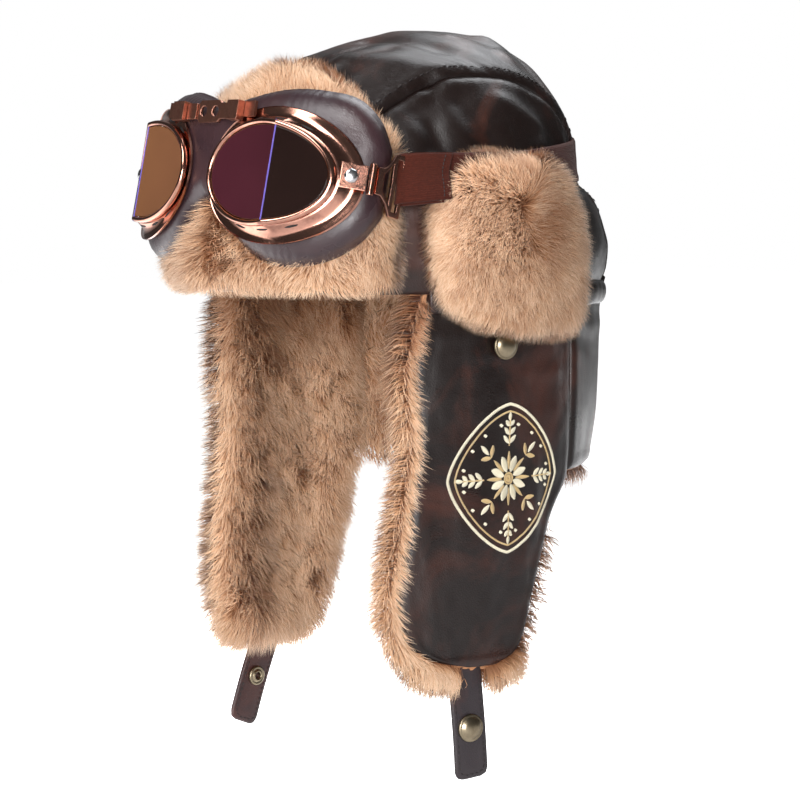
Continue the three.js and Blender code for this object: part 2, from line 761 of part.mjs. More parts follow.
// The flat run of the temple hardware in the goggles' frame: a point at a distance behind the
// hinge plate's front end, first turned outward along the plate and then inward along the buckle
function templePoint(distance) {
  const reach = hingePlateLength + pieceGap + hingePinDiameter;
  const rimEdge = lensCentre + lensHalfWidth;
  const padEnd = goggleArc(cushionHalfArc / goggleRadius, 0, 0);
  const front = new THREE.Vector3(rimEdge + 6 * pieceGap, lensY(rimEdge) + 5 * pieceGap, -1);
  front.x = Math.max(front.x, padEnd.x);
  front.y = Math.min(front.y, padEnd.y - hingeBeforePad);
  const first = Math.min(distance, reach);
  const second = distance - first;
  front.x += first * Math.sin(hingeTurnOut * degrees) - second * Math.sin(buckleTurnIn * degrees);
  front.y += first * Math.cos(hingeTurnOut * degrees) + second * Math.cos(buckleTurnIn * degrees);
  return front;
}

function buckleStart() {
  return hingePlateLength + hingePinDiameter + 3 * pieceGap;
}

// Lays a left side piece, made with +Y along the run and +X outward, at a distance along it
function layAtTemple(geometry, distance, turnOut) {
  const place = templePoint(distance);
  return geometry.rotateZ(-turnOut * degrees).translate(place.x, place.y, place.z);
}

// The room that the fur leaves behind the hinges and buckles of both sides
function templeRoom() {
  const thick = hingePlateHeight;
  const tall = buckleHeight + 2 * seatGap;
  const plate = box(thick, hingePlateLength, hingePlateHeight + 2 * seatGap, 0, 0, 0);
  const buckle = box(thick, buckleLength + 2 * hingePinDiameter, tall, 0, 0, 0);
  const rooms = [
    layAtTemple(plate, hingePlateLength / 2, hingeTurnOut),
    layAtTemple(buckle, buckleStart() + buckleLength / 2, -buckleTurnIn),
  ];
  const left = rooms.map((room) => room.translate(-thick / 2 + 2, 0, 0).applyMatrix4(goggleFrame()));
  return [...left, ...left.map(mirrored)].map(asManifold).reduce((sum, room) => sum.add(room));
}

function addTempleHardware(parent) {
  const sheet = 1.6;
  const plate = box(sheet, hingePlateLength, hingePlateHeight, 0, 0, 0);
  addPair(parent, 'hinge_plate', layAtTemple(plate, hingePlateLength / 2, hingeTurnOut), copper);
  const r = rivetDiameter / 2;
  const profile = [[0, 0], [r, 0], [r, 0.9], [r * 0.75, 1.9], [0, 2.4]];
  const dome = profile.map(([x, y]) => new THREE.Vector2(x, y));
  const rivet = new THREE.LatheGeometry(dome, 12).rotateZ(-90 * degrees);
  rivet.translate(sheet / 2 + pieceGap, 0, 0);
  addPair(parent, 'hinge_rivet', layAtTemple(rivet, hingePlateLength * 0.4, hingeTurnOut), steel);
  const pinHeight = buckleNeckHeight + 2;
  const pin = new THREE.CylinderGeometry(hingePinDiameter / 2, hingePinDiameter / 2, pinHeight, 10);
  pin.rotateX(90 * degrees);
  const pinPlace = hingePlateLength + pieceGap + hingePinDiameter / 2;
  addPair(parent, 'hinge_pin', layAtTemple(pin, pinPlace, hingeTurnOut), copper);
  const neck = buckleNeckHeight / 2;
  const wide = buckleHeight / 2;
  const bar = 2.5;
  const far = buckleLength;
  const outline = [
    [0, -neck], [far * 0.2, -neck], [far * 0.42, -neck - 3], [far * 0.62, -wide], [far, -wide],
    [far, wide], [far * 0.62, wide], [far * 0.42, neck + 3], [far * 0.2, neck], [0, neck],
  ];
  const window = [
    [far * 0.24, -neck + bar], [far * 0.55, -wide + 2 * bar],
    [far * 0.55, wide - 2 * bar], [far * 0.24, neck - bar],
  ];
  const slot = [
    [far * 0.68, -wide + bar], [far - bar, -wide + bar],
    [far - bar, wide - bar], [far * 0.68, wide - bar],
  ];
  const buckle = holedPlate(outline, [window, slot], sheet).translate(0, 0, -sheet / 2);
  buckle.rotateX(90 * degrees).rotateZ(90 * degrees);
  addPair(parent, 'strap_buckle', layAtTemple(buckle, buckleStart(), -buckleTurnIn), copper);
}

// Where the left end of the elastic meets its buckle at a height, as a turn and a lift off the
// shell
function strapStart(z) {
  const end = templePoint(buckleStart() + buckleLength + strapThickness / 2 + seatGap);
  const level = end.clone().applyMatrix4(goggleFrame());
  end.z += (z - level.z) / Math.cos(goggleLean * degrees);
  end.applyMatrix4(goggleFrame());
  let turn = turnAt(end.y, z);
  let lift = 0;
  for (let pass = 0; pass < 8; pass += 1) {
    const normal = headNormal(turn, z);
    lift = end.clone().sub(headPoint(turn, z)).dot(normal);
    turn = turnAt(end.y - lift * normal.y, z);
  }
  return { turn, lift };
}

// The elastic from temple round the back to temple, grown on every side by grow
function strapBand(grow, under) {
  const grid = (face) => steps(2).map((v) => {
    const rise = (v - 0.5) * (strapWidth + 2 * grow);
    const start = strapStart(strapTempleHeight + rise);
    return steps(32).map((u) => {
      const across = Math.abs(2 * u - 1);
      const z = lerp(strapRearHeight, strapTempleHeight, across ** 1.4) + rise;
      const lift = Math.max(seatGap + strapThickness / 2, start.lift * smooth(across, 0.62, 1));
      const turn = (1 - 2 * u) * (start.turn + grow / rimBack);
      return headPoint(turn, z, lift + (face ? strapThickness / 2 + grow : -under));
    });
  });
  return wall(grid(true), grid(false));
}

function strapCutter() {
  return toManifold(strapBand(seatGap, 40));
}

function addSnap(parent, name, point, normal, height, hole) {
  const r = snapDiameter / 2;
  const profile = hole
    ? [[hole / 2, 0], [r * 0.75, 0], [r * 0.75, height], [hole / 2, height], [hole / 2, 0]]
    : [[0, 0], [r, 0], [r, height * 0.35], [r * 0.7, height * 0.9], [0, height]];
  const geometry = new THREE.LatheGeometry(profile.map(([x, y]) => new THREE.Vector2(x, y)), 12);
  const mesh = addMesh(parent, name, geometry, brass);
  mesh.quaternion.setFromUnitVectors(new THREE.Vector3(0, 1, 0), normal);
  mesh.position.copy(point);
  return mesh;
}

function addFlapSnaps(parent) {
  const z = -flapDrop * 0.14;
  const turn = turnAt(-14, z);
  [['left', 1], ['right', -1]].forEach(([side, sign]) => {
    const point = headPoint(sign * turn, z, pieceGap);
    addSnap(parent, `flap_snap_${side}`, point, headNormal(sign * turn, z), snapHeight, 0);
  });
}

// Where a chin strap leaves its flap: x outward, y along the strap's width and z up it
function chinStrapFrame(side) {
  const z = -flapDrop;
  const sign = side === 'left' ? 1 : -1;
  const turn = sign * turnAt(-chinStrapPlaces[side], z);
  const lean = -sign * chinStrapLeans[side] * degrees;
  const outward = headNormal(turn, z);
  const frame = new THREE.Matrix4().makeRotationZ(Math.atan2(outward.y, outward.x));
  frame.multiply(new THREE.Matrix4().makeRotationX(lean));
  return frame.setPosition(levelPoint(turn, z, -leatherWall - 2 * seatGap - chinStrapThickness / 2));
}

// The room that the fur lining leaves for the tucked end of a chin strap
function chinStrapPocket(side) {
  const depth = chinStrapThickness + 4;
  const pocket = box(
    depth, chinStrapWidth + 2 * pieceGap, chinStrapTuck + 40,
    depth / 2 - chinStrapThickness / 2 - pieceGap, 0, chinStrapTuck / 2 - 20 + pieceGap / 2,
  );
  return asManifold(pocket.applyMatrix4(chinStrapFrame(side)));
}

// A chin strap sewn between leather and fur, with its free end hanging below the hem
function addChinStrap(parent, side) {
  const half = chinStrapWidth / 2;
  const corner = 4;
  const end = -chinStrapLength;
  const outline = [
    [-half, chinStrapTuck],
    [-half, end + corner],
    [-half + corner, end],
    [half - corner, end],
    [half, end + corner],
    [half, chinStrapTuck],
  ];
  const geometry = holedPlate(outline, [], chinStrapThickness);
  geometry.translate(0, 0, -chinStrapThickness / 2).rotateX(90 * degrees).rotateZ(90 * degrees);
  const strap = new THREE.Group();
  chinStrapFrame(side).decompose(strap.position, strap.quaternion, strap.scale);
  parent.add(strap);
  addMesh(strap, `chin_strap_${side}`, geometry, leather);
  const face = chinStrapThickness / 2 + pieceGap;
  const down = -chinSnapDown;
  const outward = new THREE.Vector3(1, 0, 0);
  const inward = outward.clone().negate();
  addSnap(strap, `chin_snap_cap_${side}`, new THREE.Vector3(face, 0, down), outward, snapHeight, 0);
  const socket = new THREE.Vector3(-face, 0, down);
  addSnap(strap, `chin_snap_socket_${side}`, socket, inward, snapHeight * 0.6, snapHole);
}

function addGoggles(parent) {
  const goggles = new THREE.Group();
  goggleFrame().decompose(goggles.position, goggles.quaternion, goggles.scale);
  parent.add(goggles);
  addMesh(goggles, 'goggle_cushion', cushionPad(0, cushionDepth, 0), cushionLeather);
  addPair(goggles, 'eyecup', eyecup(), copper);
  addPair(goggles, 'lens_rim', lensRim(), copper);
  addPair(goggles, 'lens_inner', pane(true), tintedGlass);
  addPair(goggles, 'lens_outer', pane(false), tintedGlass);
  addBridge(goggles);
  addTempleHardware(goggles);
}

const helmet = new THREE.Group();
addCrown(helmet);
addHemBand(helmet);
addFlaps(helmet);
addNeckFlap(helmet);
addFlapLinings(helmet);
addNeckLining(helmet);
addVisor(helmet);
addEarPatches(helmet);
addGoggles(helmet);
addMesh(helmet, 'goggle_strap', strapBand(0, strapThickness / 2), elastic);
addFlapSnaps(helmet);
addChinStrap(helmet, 'left');
addChinStrap(helmet, 'right');

export default helmet;
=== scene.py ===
"""Leather flying helmet: fine leather, fur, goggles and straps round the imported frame.

Lengths in this script are millimetres until a mesh is made. +Z is up, the wearer faces -Y and
the wearer's left is +X. The origin is the middle of the head opening.
"""
import functools
import math

import bpy
import numpy as np
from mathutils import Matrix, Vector


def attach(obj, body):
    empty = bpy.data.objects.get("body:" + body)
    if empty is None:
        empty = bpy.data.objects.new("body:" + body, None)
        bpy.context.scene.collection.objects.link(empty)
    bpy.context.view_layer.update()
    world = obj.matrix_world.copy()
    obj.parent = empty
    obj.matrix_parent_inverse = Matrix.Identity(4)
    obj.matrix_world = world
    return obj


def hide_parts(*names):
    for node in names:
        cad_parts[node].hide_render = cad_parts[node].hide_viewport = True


bl_info = {
    "name": "Leather flying helmet",
    "version": (1, 0, 0),
    "blender": (4, 5, 0),
    "location": "3D View > Sidebar > Helmet",
    "description": "Builds the leather, fur, goggles and straps of a flying helmet",
    "category": "Object",
}

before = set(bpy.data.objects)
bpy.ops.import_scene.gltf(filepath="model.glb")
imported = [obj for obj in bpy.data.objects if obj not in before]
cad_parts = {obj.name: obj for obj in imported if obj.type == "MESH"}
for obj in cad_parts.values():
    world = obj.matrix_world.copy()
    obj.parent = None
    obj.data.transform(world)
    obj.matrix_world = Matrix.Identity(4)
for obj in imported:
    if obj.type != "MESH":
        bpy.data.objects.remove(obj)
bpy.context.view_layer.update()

MM = 0.001
BODY = "root"
SIDES = (1, "left"), (-1, "right")
LEVEL = np.array([1, 1, 0])

# The shell, as in the part's own named sizes
CROWN_HEIGHT = 132.0
RIM_HALF_WIDTH = 97.0
RIM_FRONT = 116.0
RIM_BACK = 117.5
APEX_BACK = 8.0
LEATHER = 2.2
GAP = 0.3
SEAT = 0.7
FLAP_DROP = 185.0
NECK_DROP = 92.0
FLAP_FORWARD = 73.0
FLAP_REARWARD = 38.0
PANEL_HALF_WIDTH = 54.0
PANEL_BULGE = 14.0
PANEL_WIDEST = 20.0
BAND_HEIGHT = 12.0
BAND_DEPTH = 2.8

# Rings of the shell: height, then side, front and back as shares of the rim sizes
SHELL = np.array([
    [-1.3 * FLAP_DROP, 0.91, 0.966, 0.62],
    [-0.97 * FLAP_DROP, 0.93, 0.966, 0.71],
    [-0.703 * FLAP_DROP, 0.955, 0.966, 0.785],
    [-0.486 * FLAP_DROP, 0.966, 0.966, 0.865],
    [-0.324 * FLAP_DROP, 0.975, 0.974, 0.915],
    [-0.065 * FLAP_DROP, 0.975, 0.991, 0.925],
    [0.0, 0.98, 0.996, 0.93],
    [0.074 * CROWN_HEIGHT, 0.993, 1.0, 0.958],
    [0.163 * CROWN_HEIGHT, 0.995, 0.991, 0.965],
    [0.267 * CROWN_HEIGHT, 0.974, 0.97, 0.927],
    [0.341 * CROWN_HEIGHT, 0.954, 0.948, 0.878],
    [0.415 * CROWN_HEIGHT, 0.914, 0.918, 0.782],
    [0.504 * CROWN_HEIGHT, 0.89, 0.871, 0.766],
    [0.593 * CROWN_HEIGHT, 0.866, 0.81, 0.756],
    [0.681 * CROWN_HEIGHT, 0.81, 0.724, 0.72],
    [0.77 * CROWN_HEIGHT, 0.735, 0.622, 0.667],
    [0.83 * CROWN_HEIGHT, 0.66, 0.556, 0.62],
    [0.889 * CROWN_HEIGHT, 0.56, 0.461, 0.55],
    [0.941 * CROWN_HEIGHT, 0.436, 0.29, 0.46],
    [0.97 * CROWN_HEIGHT, 0.32, 0.155, 0.375],
    [0.993 * CROWN_HEIGHT, 0.144, 0.052, 0.22],
])

# Soft folds of the crown: from x, y, z to x, y, z as shares of RIM_HALF_WIDTH, RIM_BACK and
# CROWN_HEIGHT, then width in mm and depth in mm, inward where negative
FOLDS = np.array([
    [0.03, -0.22, 0.956, 0.43, -0.11, 0.925, 7.0, -2.8],
    [0.5, -0.08, 0.9, 0.62, -0.03, 0.853, 6.0, -1.4],
    [0.08, 0.06, 0.985, 0.42, 0.2, 0.94, 6.5, -2.0],
    [0.35, 0.39, 0.91, 0.59, 0.38, 0.79, 6.5, -2.4],
    [0.2, -0.47, 0.86, 0.61, -0.22, 0.82, 7.0, 1.6],
    [0.3, 0.25, 0.95, 0.55, 0.2, 0.87, 6.0, 1.6],
    [0.64, -0.29, 0.77, 0.8, -0.37, 0.54, 6.0, -2.4],
    [0.79, -0.01, 0.71, 0.82, 0.19, 0.62, 6.0, 1.8],
    [-0.3, -0.35, 0.9, -0.22, 0.45, 0.88, 9.9, -2.9],
    [0.66, -0.42, 0.72, 0.88, -0.28, 0.5, 8.1, -2.9],
    [0.74, -0.2, 0.7, 0.9, -0.12, 0.5, 7.2, -2.6],
    [0.72, 0.2, 0.7, 0.82, 0.34, 0.56, 9.0, -2.6],
    [-0.7, -0.3, 0.7, -0.88, -0.2, 0.5, 9.0, -2.9],
    [-0.7, 0.24, 0.7, -0.82, 0.36, 0.54, 9.0, -2.6],
    [0.2, 0.74, 0.66, 0.12, 0.8, 0.2, 9.9, -2.2],
    [-0.24, 0.74, 0.66, -0.2, 0.82, 0.22, 9.9, -2.2],
])
SHELL_SHARES = np.array([RIM_HALF_WIDTH, RIM_BACK, CROWN_HEIGHT])
PAST_SHELL = 240.0

# Finer creases of the leather, laid out as the folds are
CREASES = np.array([
    [0.05, -0.62, 0.78, 0.16, -0.3, 0.94, 4.0, -1.3],
    [0.2, -0.55, 0.79, 0.3, -0.28, 0.9, 3.6, -1.1],
    [0.32, -0.5, 0.78, 0.44, -0.1, 0.88, 4.5, 1.0],
    [0.3, 0.05, 0.95, 0.5, 0.36, 0.8, 4.2, 1.2],
    [0.4, 0.1, 0.88, 0.56, 0.3, 0.76, 3.4, -1.0],
    [0.18, 0.3, 0.94, 0.34, 0.62, 0.72, 4.0, 1.2],
    [0.05, 0.4, 0.92, 0.12, 0.7, 0.68, 4.0, -1.1],
    [-0.1, 0.2, 0.97, -0.06, 0.66, 0.74, 4.4, 1.1],
    [-0.3, 0.1, 0.94, -0.42, 0.4, 0.8, 4.0, -1.2],
    [-0.15, -0.5, 0.84, -0.34, -0.16, 0.92, 4.4, 1.1],
    [0.72, -0.34, 0.66, 0.92, -0.24, 0.4, 4.0, 1.2],
    [0.78, -0.06, 0.66, 0.9, 0.02, 0.48, 3.6, 1.1],
    [0.8, 0.1, 0.6, 0.9, 0.2, 0.46, 4.2, -1.0],
    [0.7, 0.36, 0.6, 0.78, 0.44, 0.5, 3.8, 1.0],
    [-0.72, -0.4, 0.66, -0.9, -0.3, 0.46, 4.0, 1.2],
    [-0.78, -0.02, 0.66, -0.92, 0.06, 0.48, 3.8, -1.1],
    [-0.72, 0.34, 0.62, -0.8, 0.44, 0.5, 3.8, 1.0],
    [0.5, 0.6, 0.5, 0.42, 0.78, 0.3, 4.4, 1.1],
    [-0.46, 0.62, 0.5, -0.4, 0.78, 0.28, 4.4, 1.1],
    [0.0, 0.72, 0.62, 0.04, 0.8, 0.24, 4.6, 1.0],
])

# Edges of an ear flap: down as a share of FLAP_DROP, front of FLAP_FORWARD, rear of FLAP_REARWARD
FLAP = np.array([
    [0, 0.75, 1], [0.05, 0.77, 1], [0.12, 0.81, 1], [0.21, 0.84, 1], [0.3, 0.82, 1],
    [0.4, 0.8, 1], [0.497, 0.83, 1], [0.6, 0.86, 0.69], [0.7, 0.9, 0.5], [0.805, 0.93, 0.34],
    [0.89, 0.9, 0.2], [0.945, 0.82, 0.08], [0.98, 0.65, -0.1], [1, 0.42, -0.4],
])


# Surfaces as functions of two parameters

def lerp(a, b, t):
    """a where t is 0, b where t is 1."""
    return a + (b - a) * t


def smooth(x, low, high):
    """0 below low, 1 above high, 3t^2 - 2t^3 between them."""
    t = np.clip((x - low) / (high - low), 0, 1)
    return t * t * (3 - 2 * t)


def rounded(from_edge, reach):
    """A quarter circle: 0 at an edge and 1 from reach inward."""
    t = np.clip(from_edge / reach, 0, 1)
    return np.sqrt(1 - (1 - t) ** 2)


def unit(v):
    """Vectors of the last axis at length 1."""
    return v / np.maximum(np.linalg.norm(v, axis=-1, keepdims=True), 1e-9)


def table_value(table, x, column):
    """A cubic Hermite curve through a table's rows, keyed by the first column, with slopes
    taken across each row's neighbours."""
    x = np.asarray(x, float)
    keys, values = table[:, 0], table[:, column]
    last = len(keys) - 1
    rows = np.arange(last + 1)
    before, after = np.maximum(rows - 1, 0), np.minimum(rows + 1, last)
    slopes = (values[after] - values[before]) / (keys[after] - keys[before])
    i = np.clip(np.searchsorted(keys, x) - 1, 0, last - 1)
    span = keys[i + 1] - keys[i]
    t = np.clip((x - keys[i]) / span, 0, 1)
    ends = (1 + 2 * t) * (1 - t) ** 2 * values[i] + t * t * (3 - 2 * t) * values[i + 1]
    return ends + (t * (1 - t) ** 2 * slopes[i] + t * t * (t - 1) * slopes[i + 1]) * span


def ring(z):
    """Half width, half length and middle y of the shell's oval at height z. Above the last row
    the oval closes as the square root of what is left to the apex."""
    top = SHELL[-1, 0]
    closing = np.sqrt(np.clip((CROWN_HEIGHT - z) / (CROWN_HEIGHT - top), 0, 1))
    side = table_value(SHELL, z, 1) * RIM_HALF_WIDTH * closing
    front = table_value(SHELL, z, 2) * RIM_FRONT
    back = table_value(SHELL, z, 3) * RIM_BACK
    middle = APEX_BACK + ((back - front) / 2 - APEX_BACK) * closing
    return side, (front + back) / 2 * closing, middle


def head_normal(turn, z):
    """The shell's outward direction where turn is the angle from the back toward the left."""
    side, length, _ = ring(z)
    low, high = ring(z - 0.5), ring(z + 0.5)
    sin, cos = np.sin(turn), np.cos(turn)
    rise_y = high[2] - low[2] + (high[1] - low[1]) * cos
    rise_x = (high[0] - low[0]) * sin
    up = -(side * cos * rise_y + length * sin * rise_x)
    return unit(np.stack(np.broadcast_arrays(length * sin, side * cos, up), -1))


def head_point(turn, z, out=0.0):
    """A point of the leather's outer face, out mm off it: (side sin, middle + length cos, z)."""
    side, length, middle = ring(z)
    x, y, z_all = np.broadcast_arrays(side * np.sin(turn), middle + length * np.cos(turn), z)
    return np.stack([x, y, z_all], -1) + head_normal(turn, z) * np.asarray(out)[..., None]


def level_point(turn, z, out=0.0):
    """The same point moved off the leather on the level, so that its height stays z."""
    return head_point(turn, z) + unit(head_normal(turn, z) * LEVEL) * np.asarray(out)[..., None]


def turn_at(y, z):
    """The turn on the left side where the shell passes y."""
    _, length, middle = ring(z)
    return np.arccos(np.clip((y - middle) / np.maximum(length, 1e-6), -1, 1))


def near_lines(points, rows):
    """Sum over rows of depth times exp(-(distance to the row's line / width)^2)."""
    total = np.zeros(points.shape[:-1])
    for row in rows:
        start, end = row[:3] * SHELL_SHARES, row[3:6] * SHELL_SHARES
        line = end - start
        t = np.clip((points - start) @ line / (line @ line), 0, 1)
        away = np.linalg.norm(points - start - t[..., None] * line, axis=-1) / row[6]
        total += row[7] * np.exp(-away * away)
    return total


def ripple(points, length, seed, waves=14):
    """Soft noise around -1 to 1: sine waves in random directions, about length mm long."""
    rng = np.random.default_rng(seed)
    directions = unit(rng.normal(size=(waves, 3))) * 2 * math.pi / length
    directions *= rng.uniform(0.6, 1.6, (waves, 1))
    return np.sin(points @ directions.T + rng.uniform(0, 2 * math.pi, waves)).mean(-1) * 2.2


def ripples(points, length, seeds):
    """A vector of ripples, one from each seed."""
    return np.stack([ripple(points, length, seed) for seed in seeds], -1)


def around_circle(count):
    """Angles of count even steps round a circle."""
    return np.linspace(0, 2 * math.pi, count + 1)[:-1]


def grid_normals(points, away_from):
    """Normals of a grid of points: the cross product of its two ways, pointing as a whole away
    from one point."""
    found = unit(np.cross(np.gradient(points, axis=0), np.gradient(points, axis=1)))
    return found * np.sign(np.sum(found * (points - away_from)))


def grid_faces(rows, columns, start=0, wrap=False):
    """Quads of a grid of rows by columns, numbered from start; wrap joins the last column on."""
    index = start + np.arange(rows * columns).reshape(rows, columns)
    if wrap:
        index = np.concatenate([index, index[:, :1]], 1)
    corners = index[:-1, :-1], index[:-1, 1:], index[1:, 1:], index[1:, :-1]
    return np.stack(corners, -1).reshape(-1, 4)


def grid_of(first, second):
    """Two grids of values: first runs down the rows and second along the columns."""
    return np.meshgrid(first, second, indexing="ij")


def wall(outer, inner):
    """Points and quads of a closed wall between two grids of the same size."""
    rows, columns = outer.shape[:2]
    count = rows * columns
    index = np.arange(count).reshape(rows, columns)
    around = np.concatenate([index[0, :-1], index[:-1, -1], index[-1, :0:-1], index[:0:-1, 0]])
    after = np.roll(around, -1)
    edge = np.stack([after, around, around + count, after + count], -1)
    faces = [grid_faces(rows, columns), grid_faces(rows, columns, count)[:, ::-1], edge]
    return np.concatenate([outer.reshape(-1, 3), inner.reshape(-1, 3)]), np.concatenate(faces)


def loft(loops, closed_ends=True):
    """Points and faces of loops joined in order, each end closed by a fan, or end to end."""
    rows, count = loops.shape[:2]
    points = loops.reshape(-1, 3)
    if not closed_ends:
        return points, grid_faces(rows + 1, count, wrap=True) % (rows * count)
    total, i = rows * count, np.arange(count)
    j = (i + 1) % count
    low = np.stack([np.full(count, total), j, i, i], -1)
    high = np.stack([np.full(count, total + 1), i + total - count, j + total - count], -1)
    high = np.concatenate([high, high[:, 2:]], 1)
    points = np.concatenate([points, [loops[0].mean(0), loops[-1].mean(0)]])
    return points, np.concatenate([grid_faces(rows, count, wrap=True), low, high])


def repeated(points, faces, places):
    """One small shape at many places: each place is a 4 by 3 array of its origin and the three
    directions that carry the shape's x, y and z."""
    count = len(points)
    moved = places[:, None, 0] + np.einsum("vk,pkc->pvc", points, places[:, 1:])
    all_faces = faces[None] + (np.arange(len(places)) * count)[:, None, None]
    return moved.reshape(-1, 3), all_faces.reshape(-1, faces.shape[1])


def mirrored(points):
    """The same points with x reversed."""
    return points * np.array([-1, 1, 1])


def sided(points, side):
    """Points made for the wearer's left, mirrored where side is below 0."""
    return points if side > 0 else mirrored(points)


def outward(points, faces):
    """The faces turned so that the closed shape's signed volume is positive."""
    volume = 0
    for second in range(1, faces.shape[1] - 1):
        a, b, c = (points[faces[:, k]] for k in (0, second, second + 1))
        volume += np.einsum("ij,ij->", a, np.cross(b, c))
    return faces[:, ::-1] if volume < 0 else faces


def add_piece(name, points, faces, material, slot, replaces=(), uv=None, uv_name="Lay",
              normals=None, sharp=None):
    """Puts points in mm and faces into a mesh that rides on the body, with an optional UV for
    each point, its own shading normals, or sharp edges above an angle in degrees."""
    mesh = bpy.data.meshes.new(name)
    mesh.vertices.add(len(points))
    mesh.vertices.foreach_set("co", (points * MM).astype(np.float32).ravel())
    keep = faces != np.roll(faces, -1, axis=1)
    loops = faces[keep]
    starts = np.concatenate([[0], np.cumsum(keep.sum(1))[:-1]])
    mesh.loops.add(len(loops))
    mesh.loops.foreach_set("vertex_index", loops.astype(np.int32))
    mesh.polygons.add(len(faces))
    mesh.polygons.foreach_set("loop_start", starts.astype(np.int32))
    if uv is not None:
        layer = mesh.uv_layers.new(name=uv_name)
        layer.data.foreach_set("uv", uv[loops].astype(np.float32).ravel())
    mesh.update(calc_edges=True)
    mesh.shade_smooth()
    if sharp is not None:
        mesh.set_sharp_from_angle(angle=math.radians(sharp))
    if normals is not None:
        mesh.normals_split_custom_set_from_vertices(normals.astype(np.float32))
    mesh.materials.append(material)
    piece = bpy.data.objects.new(name, mesh)
    bpy.context.scene.collection.objects.link(piece)
    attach(piece, BODY)
    if replaces:
        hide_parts(*replaces)
    return piece


def add_closed(name, shape, *rest, **more):
    """add_piece for the points and faces of a closed shape, turned outward."""
    points, faces = shape
    return add_piece(name, points, outward(points, faces), *rest, **more)


# Materials

def put(made, **values):
    """Sets a node's attributes and, by name with _ for a space, its sockets: to a value, or
    linked where the value is a socket."""
    for key, value in values.items():
        if hasattr(made, key):
            setattr(made, key, value)
            continue
        socket = made.inputs[key.replace("_", " ")]
        if isinstance(value, bpy.types.NodeSocket):
            made.id_data.links.new(value, socket)
        else:
            socket.default_value = value
    return made


def node(tree, kind, links=(), **values):
    """Adds a shader node, puts its values and links further inputs by their number."""
    made = put(tree.nodes.new("ShaderNode" + kind), **values)
    for number, source in links:
        tree.links.new(source, made.inputs[number])
    return made


def object_coord(tree):
    """The Object coordinates' socket."""
    return node(tree, "TexCoord").outputs["Object"]


def noise(tree, vector, **values):
    """The Fac socket of a Noise texture."""
    return node(tree, "TexNoise", Vector=vector, **values).outputs["Fac"]


def ranged(tree, value, low, high, first=0.0, last=1.0):
    """The output socket of a Map Range node: low to high becomes first to last."""
    return node(tree, "MapRange", Value=value, From_Min=low, From_Max=high,
                To_Min=first, To_Max=last).outputs[0]


def ramp(tree, factor, stops):
    """The colour socket of a Color Ramp with three stops of a position and a colour."""
    made = node(tree, "ValToRGB", Fac=factor)
    elements = made.color_ramp.elements
    for element, (position, color) in zip(elements, (stops[0], stops[2])):
        element.position, element.color = position, (*color, 1)
    elements.new(stops[1][0]).color = (*stops[1][1], 1)
    return made.outputs[0]


def effect_group(name, inputs, outputs, build):
    """A shader node group with named number inputs and outputs, made once."""
    group = bpy.data.node_groups.get(name)
    if group:
        return group
    group = bpy.data.node_groups.new(name, "ShaderNodeTree")
    for key, value in inputs.items():
        socket = group.interface.new_socket(key, in_out="INPUT", socket_type="NodeSocketFloat")
        socket.default_value = value
    for key in outputs:
        group.interface.new_socket(key, in_out="OUTPUT", socket_type="NodeSocketFloat")
    results = build(group, group.nodes.new("NodeGroupInput").outputs)
    end = group.nodes.new("NodeGroupOutput")
    for key, source in results.items():
        group.links.new(source, end.inputs[key])
    return group


def math_node(tree, operation, a, b=None, clamp=False):
    """The output socket of a Math node of one or two numbers or sockets."""
    made = node(tree, "Math", operation=operation, use_clamp=clamp)
    for slot, value in enumerate((a, b)):
        if isinstance(value, bpy.types.NodeSocket):
            tree.links.new(value, made.inputs[slot])
        elif value is not None:
            made.inputs[slot].default_value = value
    return made.outputs[0]


def scaled(tree, value, share):
    """A socket times a number; its output socket."""
    return math_node(tree, "MULTIPLY", value, share)


def mix_color(tree, factor, a, b, blend="MIX"):
    """Mixes two colours or colour sockets; its output socket."""
    made = node(tree, "Mix", data_type="RGBA", blend_type=blend)
    for slot, value in ((0, factor), (6, a), (7, b)):
        if isinstance(value, bpy.types.NodeSocket):
            tree.links.new(value, made.inputs[slot])
        else:
            made.inputs[slot].default_value = (*value, 1) if slot else value
    return made.outputs[2]


def grain_group():
    """Leather grain: pebbles from distances to cells, stretched by noise, plus broad mottling."""
    def build(tree, given):
        coord = object_coord(tree)
        size = given["Pebbles per metre"]
        warp = node(tree, "TexNoise", Vector=coord, Scale=160.0, Detail=3.0)
        bent = node(tree, "Mix", [(4, coord), (5, warp.outputs["Color"])], data_type="VECTOR")
        bent.inputs[0].default_value = 0.004
        cells = node(tree, "TexVoronoi", feature="DISTANCE_TO_EDGE", Vector=bent.outputs[1],
                     Scale=size)
        pebble = math_node(tree, "MULTIPLY", cells.outputs["Distance"], 3.0, clamp=True)
        fine = noise(tree, coord, Scale=size, Detail=4.0)
        height = math_node(tree, "ADD", math_node(tree, "POWER", pebble, 0.6),
                           scaled(tree, fine, 0.6))
        broad = noise(tree, coord, Scale=given["Rubs per metre"], Detail=5.0, Roughness=0.62,
                      Distortion=0.6)
        return {"Height": height, "Rub": ranged(tree, broad, 0.48, 0.78),
                "Mottle": noise(tree, coord, Scale=38.0, Detail=3.0)}
    return effect_group("Leather grain", {"Pebbles per metre": 900.0, "Rubs per metre": 17.0},
                        ("Height", "Rub", "Mottle"), build)


